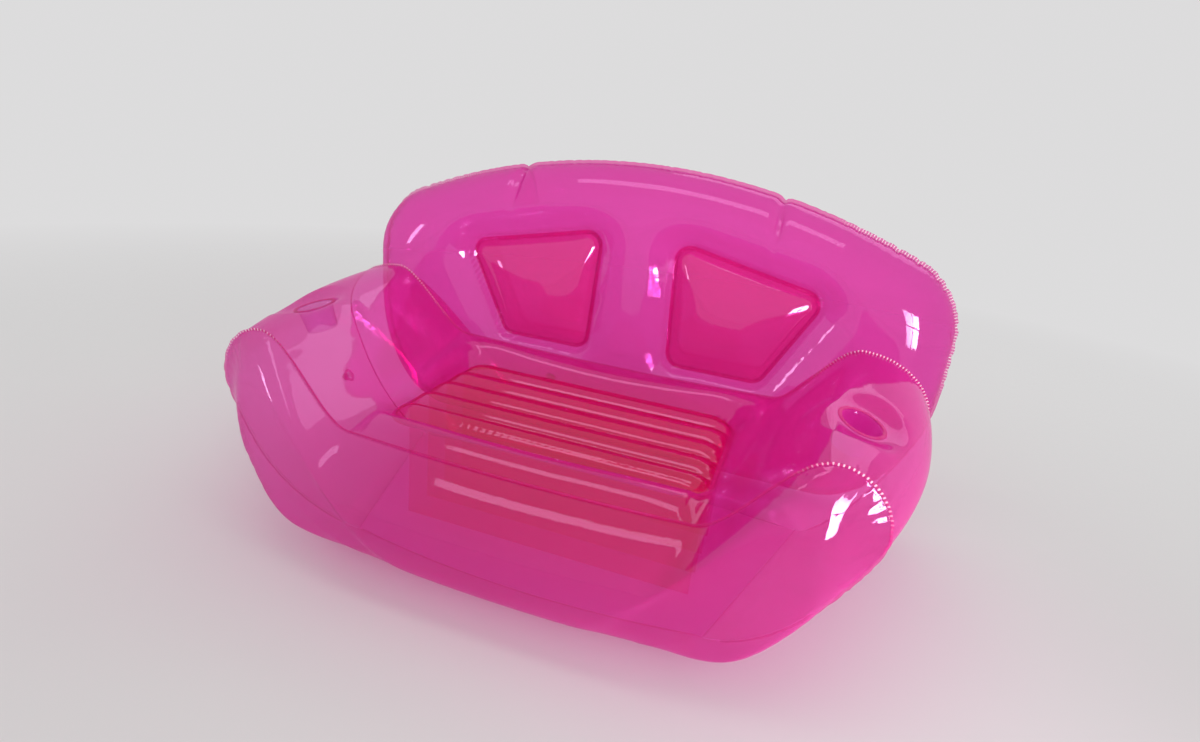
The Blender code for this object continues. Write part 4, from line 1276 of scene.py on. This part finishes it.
@functools.lru_cache(maxsize=1)
def back_depths():
    """The grid of the back with the depths of its front and rear film."""
    flat, outline = back_xz()
    spots = flat.reshape(-1, 2)
    away, _ = nearest_on_line(spots, outline, True)
    edge = np.ones(flat.shape[:2], dtype=bool)
    edge[1:-1, 1:-1] = False
    away = np.where(edge.reshape(-1), 0.0, away)
    rim = dome(away / back_edge_width)
    pillows = np.minimum(*[signed_distance(spots, pillow_outline(side)) for side in (-1, 1)])
    groove = dome((pillows - weld_land) / pillow_groove_width)
    front = back_rim_y - rim * (back_front_depth - pillow_groove_depth * (1 - groove))
    rear = back_rim_y + dome(away / back_rear_edge_width) * back_rear_depth
    shape = flat.shape[:2]
    held = np.where(pillows < weld_land + 0.012, 1.0, 1 - ease(away / 0.05) * 0.98)
    front = relaxed(front.reshape(shape), held.reshape(shape), 40)
    hold = 1 - ease(away / 0.05) * 0.98
    rear = relaxed(rear.reshape(shape), hold.reshape(shape), 40)
    front, rear = front.reshape(-1), rear.reshape(-1)
    inner = ease(away / 0.02)
    dent = tie_dent(spots, -1) + tie_dent(spots, 1)
    front = front + 0.019 * dent * inner
    rear = rear - 0.010 * dent * inner
    low = 1 - ease((spots[:, 1] - back_contact_z) / 0.012)
    front = mix(front, np.maximum(front, back_contact_y), low)
    return flat, outline, front, rear, pillows


def make_back_front():
    flat, outline, front, _, _ = back_depths()
    bm = back_sheet(flat, front - film - clearance)
    for side in (-1, 1):
        loop = pillow_outline(side)

        def onto_groove(points):
            x, z = nearest_on_loop(points, loop).T
            return np.stack([x, np.full(len(x), groove_y - film - clearance), z], axis=1)

        cut_along(bm, lambda points: signed_distance(points[:, [0, 2]], loop), onto_groove)
    facing(bm, (0, -1, 0))
    spots = back_weld(outline).dressed(bm, back_crease_reach, back_scallop)
    place(bm, pillow_creases(spots))
    film_piece(bm, "back_front_sheet", "back_film", "back_front_film", (0, -1, 0))


def pillow_creases(points):
    """Short creases that run out from a pillow's border over the roll round it."""
    for side, seed in ((-1, 31), (1, 32)):
        away, along = nearest_on_line(points[:, [0, 2]], pillow_outline(side), True)
        dice = np.random.default_rng(seed)
        marks = np.cumsum(dice.uniform(0.5, 1.5, pillow_crease_count))
        marks = np.concatenate([[0.0], marks / marks[-1]]) * along.max() * 1.0001
        depths = dice.uniform(0.2, 1.0, pillow_crease_count)
        slot, _, height = creases(marks, along)
        outside = away - weld_land
        band = ease(outside / 0.012) * np.exp(-np.maximum(outside, 0) / 0.022)
        points[:, 1] += pillow_crease_depth * height * depths[slot] * band * (outside > 0)
    return points


def make_back_rear():
    flat, outline, _, rear, _ = back_depths()
    bm = back_sheet(flat, rear + film + clearance)
    open_for_valve(bm, valve_frames()[1][1])
    facing(bm, (0, 1, 0))
    place(bm, back_weld(outline).dressed(bm, back_crease_reach, back_scallop))
    film_piece(bm, "back_rear_sheet", "back_film", "back_rear_film", (0, 1, 0))


def make_pillows():
    border = weld_land - clearance
    for side, number in ((-1, "left"), (1, "right")):
        loop = pillow_outline(side)
        centre = loop.mean(axis=0)
        low, high = loop.min(axis=0) - weld_land, loop.max(axis=0) + weld_land
        x = np.linspace(low[0], high[0], 91)
        z = np.linspace(low[1], high[1], 75)
        flat_x, flat_z = np.meshgrid(x, z)
        spots = np.stack([flat_x, flat_z], axis=-1).reshape(-1, 2)
        inside = -signed_distance(spots, loop)
        crown = pillow_crown * dome(inside / pillow_crown_width)
        shape = flat_x.shape
        hold = np.where(inside < 0.0, 1.0, 1 - ease(inside / 0.03) * 0.98)
        crown = relaxed(crown.reshape(shape), hold.reshape(shape), 60).reshape(-1)
        away = np.linalg.norm(spots - centre, axis=1)
        crown += 0.006 * np.exp(-((away / 0.08) ** 2)) * (inside > 0)
        y = groove_y + clearance - crown
        points = np.stack([spots[:, 0], y, spots[:, 1]], axis=1).reshape(*shape, 3)
        bm = grid_mesh(points)

        def project(p):
            spot = nearest_on_loop(p, loop)
            out = unit(p[:, [0, 2]] - spot) * border
            return np.stack([spot[:, 0] + out[:, 0], p[:, 1], spot[:, 1] + out[:, 1]], axis=1)

        cut_along(bm, lambda p: signed_distance(p[:, [0, 2]], loop) - border, project, True)
        name = f"{number}_pillow_film"
        film_piece(bm, name, "seat_film", f"{number}_pillow", (0, -1, 0))


def make_pillow_ties():
    """The film walls that hold the pillows' borders back to the rear film."""
    front_y = groove_y + film + 2 * clearance
    rear_y = back_rim_y + back_rear_depth - film
    for side, number in ((-1, "left"), (1, "right")):
        loop = resampled(pillow_outline(side), 0.006)
        centre = loop.mean(axis=0)
        rows = []
        for share in np.linspace(0, 1, 17):
            waist = 1 - 0.05 * math.sin(math.pi * share)
            ring = centre + (loop - centre) * waist
            ring = np.vstack([ring, ring[:1]])
            y = np.full(len(ring), mix(front_y, rear_y, share))
            rows.append(np.stack([ring[:, 0], y, ring[:, 1]], axis=1))
        bm = grid_mesh(np.stack(rows))
        bmesh.ops.remove_doubles(bm, verts=bm.verts, dist=1e-5)
        bmesh.ops.recalc_face_normals(bm, faces=bm.faces)
        name = f"{number}_tie_film"
        film_piece(bm, name, "tie_film", f"{number}_pillow_tie", None, 0.0)


def make_crest_ties():
    """The films that draw the crest in at its notches."""
    flat, _, front, rear, _ = back_depths()
    shape = flat.shape[:2]
    front, rear = front.reshape(shape), rear.reshape(shape)
    for side, number in ((-1, "left"), (1, "right")):
        column = int(np.argmin(np.abs(flat[0, :, 0] - side * back_notch_x)))
        z = flat[:, column, 1]
        take = (z > back_notch_z - 0.09) & (np.arange(len(z)) < len(z) - 2)
        ahead = front[take, column] + clearance + film
        behind = rear[take, column] - clearance - film
        across = np.linspace(0, 1, 9)[None, :]
        y = mix(ahead[:, None], behind[:, None], across)
        x = np.full_like(y, flat[0, column, 0])
        up = np.broadcast_to(z[take][:, None], y.shape)
        bm = grid_mesh(np.stack([x, y, up], axis=-1))
        name = f"{number}_crest_film"
        film_piece(bm, name, "tie_film", f"{number}_crest_tie", (1, 0, 0), 0.0)


def make_back_lip():
    _, outline = back_xz()
    make_weld_strip(back_weld(outline), back_seam_lip, "back_lip", "back_rim_weld")


# Valves


def rounded_profile(profile, radius):
    """The profile with each corner that isn't on the axis cut back twice."""
    made = []
    count = len(profile)
    for k, (r, h) in enumerate(profile):
        if r == 0:
            made.append((r, h))
            continue
        for other in (profile[k - 1], profile[(k + 1) % count]):
            run = math.hypot(other[0] - r, other[1] - h)
            share = min(radius / run, 0.3) if run else 0
            made.append((mix(r, other[0], share), mix(h, other[1], share)))
    return made


def tab_on(bm, hinge_x, reach, low, high):
    """Adds a small block with rounded edges that joins a turned piece to its hinge line."""
    made = bmesh.ops.create_cube(bm, size=1)
    verts = made["verts"]
    size = (reach, 2 * valve_tab_half_width, high - low)
    bmesh.ops.scale(bm, vec=size, verts=verts)
    bmesh.ops.translate(bm, vec=(hinge_x + reach / 2, 0, (low + high) / 2), verts=verts)
    edges = list({edge for vert in verts for edge in vert.link_edges})
    bmesh.ops.bevel(
        bm, geom=edges, offset=0.0002, segments=2, profile=0.5, affect="EDGES", material=-1
    )


def make_valve(number, turned_by):
    seat = clearance + valve_flange_thickness
    flange = [
        (valve_stem_radius + clearance, clearance),
        (valve_flange_radius, clearance),
        (valve_flange_radius - valve_flange_thickness, seat),
        (valve_stem_radius + clearance, seat),
    ]
    neck = [
        (valve_bore_radius, -valve_neck_in),
        (valve_stem_radius, -valve_neck_in),
        (valve_stem_radius, valve_neck_out - valve_collar_height),
        (valve_collar_radius, valve_neck_out - valve_collar_height),
        (valve_collar_radius, valve_neck_out),
        (valve_bore_radius, valve_neck_out),
    ]
    low = valve_neck_out + clearance
    top = low + valve_cap_thickness
    cap = [
        (0, low - valve_plug_length),
        (valve_plug_tip_radius, low - valve_plug_length),
        (valve_bore_radius - 2 * clearance, low),
        (valve_cap_radius, low),
        (valve_cap_radius, top),
        (0, top),
    ]
    under = -valve_neck_in - clearance
    flap = [
        (0, under - valve_flap_thickness),
        (valve_flap_radius, under - valve_flap_thickness),
        (valve_flap_radius, under),
        (0, under),
    ]
    parts = (
        ("flange", flange, "sofa", "valve_vinyl"),
        ("neck", neck, f"{number}_neck", "valve_vinyl"),
        ("cap", cap, f"{number}_cap", "valve_cap"),
        ("flap", flap, f"{number}_flap", "valve_vinyl"),
    )
    for part, profile, body, finish in parts:
        bm = turned(rounded_profile(profile, 0.0002), 48, profile[0][0] > 0)
        if part == "cap":
            tab_on(
                bm,
                -(valve_collar_radius + clearance),
                valve_collar_radius - valve_plug_tip_radius,
                low,
                top - 0.00005,
            )
        if part == "flap":
            tab_on(
                bm,
                -valve_stem_radius,
                valve_stem_radius / 2,
                under - valve_flap_thickness + 0.00005,
                under - 0.00005,
            )
        bmesh.ops.transform(bm, matrix=turned_by, verts=bm.verts)
        name = f"{number}_{part}_vinyl"
        piece = link_piece(bm, name, finish, body, f"{number}_valve_{part}")
        piece.data.set_sharp_from_angle(angle=math.radians(50))


def make_valves():
    for number, turned_by in valve_frames():
        make_valve(number, turned_by)


# Operators


class Group:
    """Builds the pieces of one group, one after the other"""

    makers = ()

    def execute(self, context):
        for make in self.makers:
            make()
        return {"FINISHED"}


class SOFA_OT_wrap(Group, bpy.types.Operator):
    """Builds the film over the deck and both arms"""

    bl_idname = "sofa.wrap"
    bl_label = "Deck and arm film"
    makers = (make_wrap,)


class SOFA_OT_panels(Group, bpy.types.Operator):
    """Builds the front, rear and bottom panels of the seat"""

    bl_idname = "sofa.panels"
    bl_label = "Seat panels"
    makers = (make_front_panel, make_rear_panel, make_bottom_panel)


class SOFA_OT_pan(Group, bpy.types.Operator):
    """Builds the ribbed pan and the baffles under it"""

    bl_idname = "sofa.pan"
    bl_label = "Ribbed pan and baffles"
    makers = (make_pan, make_baffles)


class SOFA_OT_cups(Group, bpy.types.Operator):
    """Builds the cup wells and their rims"""

    bl_idname = "sofa.cups"
    bl_label = "Cup wells"
    makers = (make_cup_wells, make_cup_rims)


class SOFA_OT_seat_welds(Group, bpy.types.Operator):
    """Builds the weld lips of the seat"""

    bl_idname = "sofa.seat_welds"
    bl_label = "Seat welds"
    makers = (make_seat_lips,)


class SOFA_OT_back(Group, bpy.types.Operator):
    """Builds the films of the backrest, its ties and its weld lip"""

    bl_idname = "sofa.back"
    bl_label = "Backrest"
    makers = (make_back_front, make_back_rear, make_pillow_ties, make_crest_ties, make_back_lip)


class SOFA_OT_pillows(Group, bpy.types.Operator):
    """Builds the two pillows of the backrest"""

    bl_idname = "sofa.pillows"
    bl_label = "Pillows"
    makers = (make_pillows,)


class SOFA_OT_valves(Group, bpy.types.Operator):
    """Builds the valves of the two air chambers"""

    bl_idname = "sofa.valves"
    bl_label = "Valves"
    makers = (make_valves,)


def aim(thing, target):
    way = Vector(target) - thing.location
    thing.rotation_euler = way.to_track_quat("-Z", "Y").to_euler()


def area_light(name, place_at, target, size, power):
    light = bpy.data.lights.new(name, "AREA")
    light.shape = "RECTANGLE"
    light.size, light.size_y = size
    light.energy = power
    lamp = bpy.data.objects.new(name, light)
    lamp.visible_camera = False
    bpy.context.scene.collection.objects.link(lamp)
    lamp.location = place_at
    aim(lamp, target)
    return lamp


def window(name, place_at, target, pane, gap, counts, power):
    """A window-like light of several panes."""
    lead = bpy.data.objects.new(name, None)
    lead.location = place_at
    aim(lead, target)
    turned_by = lead.rotation_euler.to_matrix()
    bpy.data.objects.remove(lead)
    for row in range(counts[1]):
        for column in range(counts[0]):
            across = (column - (counts[0] - 1) / 2) * (pane[0] + gap)
            up = (row - (counts[1] - 1) / 2) * (pane[1] + gap)
            offset = turned_by @ Vector((across, up, 0))
            at = Vector(place_at) + offset
            lamp = area_light(f"{name}_{row}_{column}", at, target, pane, power)
            lamp.rotation_euler = turned_by.to_euler()
            lamp.data.spread = math.radians(50)


def make_floor(settings):
    """The floor, which fades into the backdrop far from the sofa."""
    bm = bmesh.new()
    bmesh.ops.create_grid(bm, x_segments=1, y_segments=1, size=floor_half)
    bmesh.ops.translate(bm, vec=(0, 0, -0.0004), verts=bm.verts)
    mesh = bpy.data.meshes.new("floor")
    bm.to_mesh(mesh)
    bm.free()
    floor = bpy.data.objects.new("floor", mesh)
    bpy.context.scene.collection.objects.link(floor)
    finish = Finish(bpy.data.materials.new("floor_paint"))
    sockets = {
        "Base Color": tuple(settings.floor_colour),
        "Roughness": 0.9,
        "Specular IOR Level": 0.0,
    }
    body = finish.node("BsdfPrincipled", sockets)
    far = finish.node("BsdfTransparent", {"Color": (1, 1, 1)})
    middle = finish.node("VectorMath", {0: finish.spot()}, 1, operation="LENGTH")
    fade = finish.clipped((middle - floor_fade_from) * floor_fade_rate)
    mixed = finish.node("MixShader", {0: fade, 1: body, 2: far})
    finish.node("OutputMaterial", {"Surface": mixed})
    mesh.materials.append(finish.owner)


def make_world(settings):
    """Soft light from all round, behind a backdrop of its own colour."""
    world = bpy.data.worlds.new("studio")
    bpy.context.scene.world = world
    finish = Finish(world)
    share = finish.node("LightPath", {}, "Is Camera Ray")
    rays = share.socket.node.outputs
    for ray in ("Is Glossy Ray", "Is Transmission Ray"):
        share = finish.maths("MAXIMUM", share, Wire(finish, rays[ray]))
    colour = tuple(settings.backdrop_colour)
    seen = finish.node("Background", {"Color": colour, "Strength": 1.0})
    light = {"Color": (1.0, 0.99, 0.98), "Strength": settings.sky_strength}
    sky = finish.node("Background", light)
    either = finish.node("MixShader", {0: share, 1: sky, 2: seen})
    finish.node("OutputWorld", {0: either})


def make_lights(settings):
    pane, panes = (0.32, 0.44), (2, 2)
    place_at, target = (1.75, -1.55, 0.50), (0.0, 0.33, 0.46)
    window("front_window", place_at, target, pane, 0.05, panes, settings.window_power)
    area_light("left_glow", (-2.4, -1.8, 0.6), (0, 0.2, 0.45), (0.16, 0.7), 3.0)
    area_light("top_strip", (0, -0.5, 2.8), (0, 0, 0), (2.6, 0.5), 8.0)
    area_light("rear_glow", (1.0, 2.6, 2.5), (0.3, 0, 0.35), (3.0, 1.5), 14.0)


def make_camera(settings):
    data = bpy.data.cameras.new("camera")
    data.sensor_fit = "HORIZONTAL"
    data.sensor_width = sensor_width
    data.lens = focal_share * sensor_width
    data.shift_x = sideways_shift
    data.clip_start = 0.01
    camera = bpy.data.objects.new("camera", data)
    scene = bpy.context.scene
    scene.collection.objects.link(camera)
    yaw, pitch, roll = (math.radians(a) for a in camera_turn)
    level = math.cos(pitch)
    ahead = Vector((-math.sin(yaw) * level, math.cos(yaw) * level, -math.sin(pitch)))
    right = Vector((math.cos(yaw), math.sin(yaw), 0))
    up = right.cross(ahead)
    across = right * math.cos(roll) + up * math.sin(roll)
    upright = up * math.cos(roll) - right * math.sin(roll)
    turned_by = Matrix((across, upright, -ahead)).transposed().to_4x4()
    place_at = Matrix.Translation((*camera_place, settings.camera_height))
    camera.matrix_world = place_at @ turned_by
    scene.camera = camera


class SOFA_OT_stage(bpy.types.Operator):
    """Sets up the floor, the light, the backdrop and the camera"""

    bl_idname = "sofa.stage"
    bl_label = "Stage"

    def execute(self, context):
        for make in (make_floor, make_world, make_lights, make_camera):
            make(context.scene.sofa_stage)
        context.scene.view_settings.view_transform = "Standard"
        context.scene.cycles.transparent_max_bounces = 64
        context.scene.cycles.max_bounces = 12
        return {"FINISHED"}


class SOFA_PT_panel(bpy.types.Panel):
    bl_label = "Inflatable sofa"
    bl_idname = "SOFA_PT_panel"
    bl_space_type = "VIEW_3D"
    bl_region_type = "UI"
    bl_category = "Sofa"

    def draw(self, context):
        for settings in (context.scene.sofa_film, context.scene.sofa_stage):
            for key in settings.__annotations__:
                self.layout.prop(settings, key)
        for operator in operators:
            self.layout.operator(operator.bl_idname)


operators = (
    SOFA_OT_wrap,
    SOFA_OT_panels,
    SOFA_OT_pan,
    SOFA_OT_cups,
    SOFA_OT_seat_welds,
    SOFA_OT_back,
    SOFA_OT_pillows,
    SOFA_OT_valves,
    SOFA_OT_stage,
)
classes = (FilmSettings, StageSettings, *operators, SOFA_PT_panel)


def register():
    for item in classes:
        bpy.utils.register_class(item)
    bpy.types.Scene.sofa_film = bpy.props.PointerProperty(type=FilmSettings)
    bpy.types.Scene.sofa_stage = bpy.props.PointerProperty(type=StageSettings)


def unregister():
    del bpy.types.Scene.sofa_stage
    del bpy.types.Scene.sofa_film
    for item in reversed(classes):
        bpy.utils.unregister_class(item)


def main():
    register()
    bpy.ops.sofa.stage()
    bpy.ops.sofa.wrap()
    bpy.ops.sofa.panels()
    bpy.ops.sofa.pan()
    bpy.ops.sofa.cups()
    bpy.ops.sofa.seat_welds()
    bpy.ops.sofa.back()
    bpy.ops.sofa.pillows()
    bpy.ops.sofa.valves()


if __name__ == "__main__":
    main()
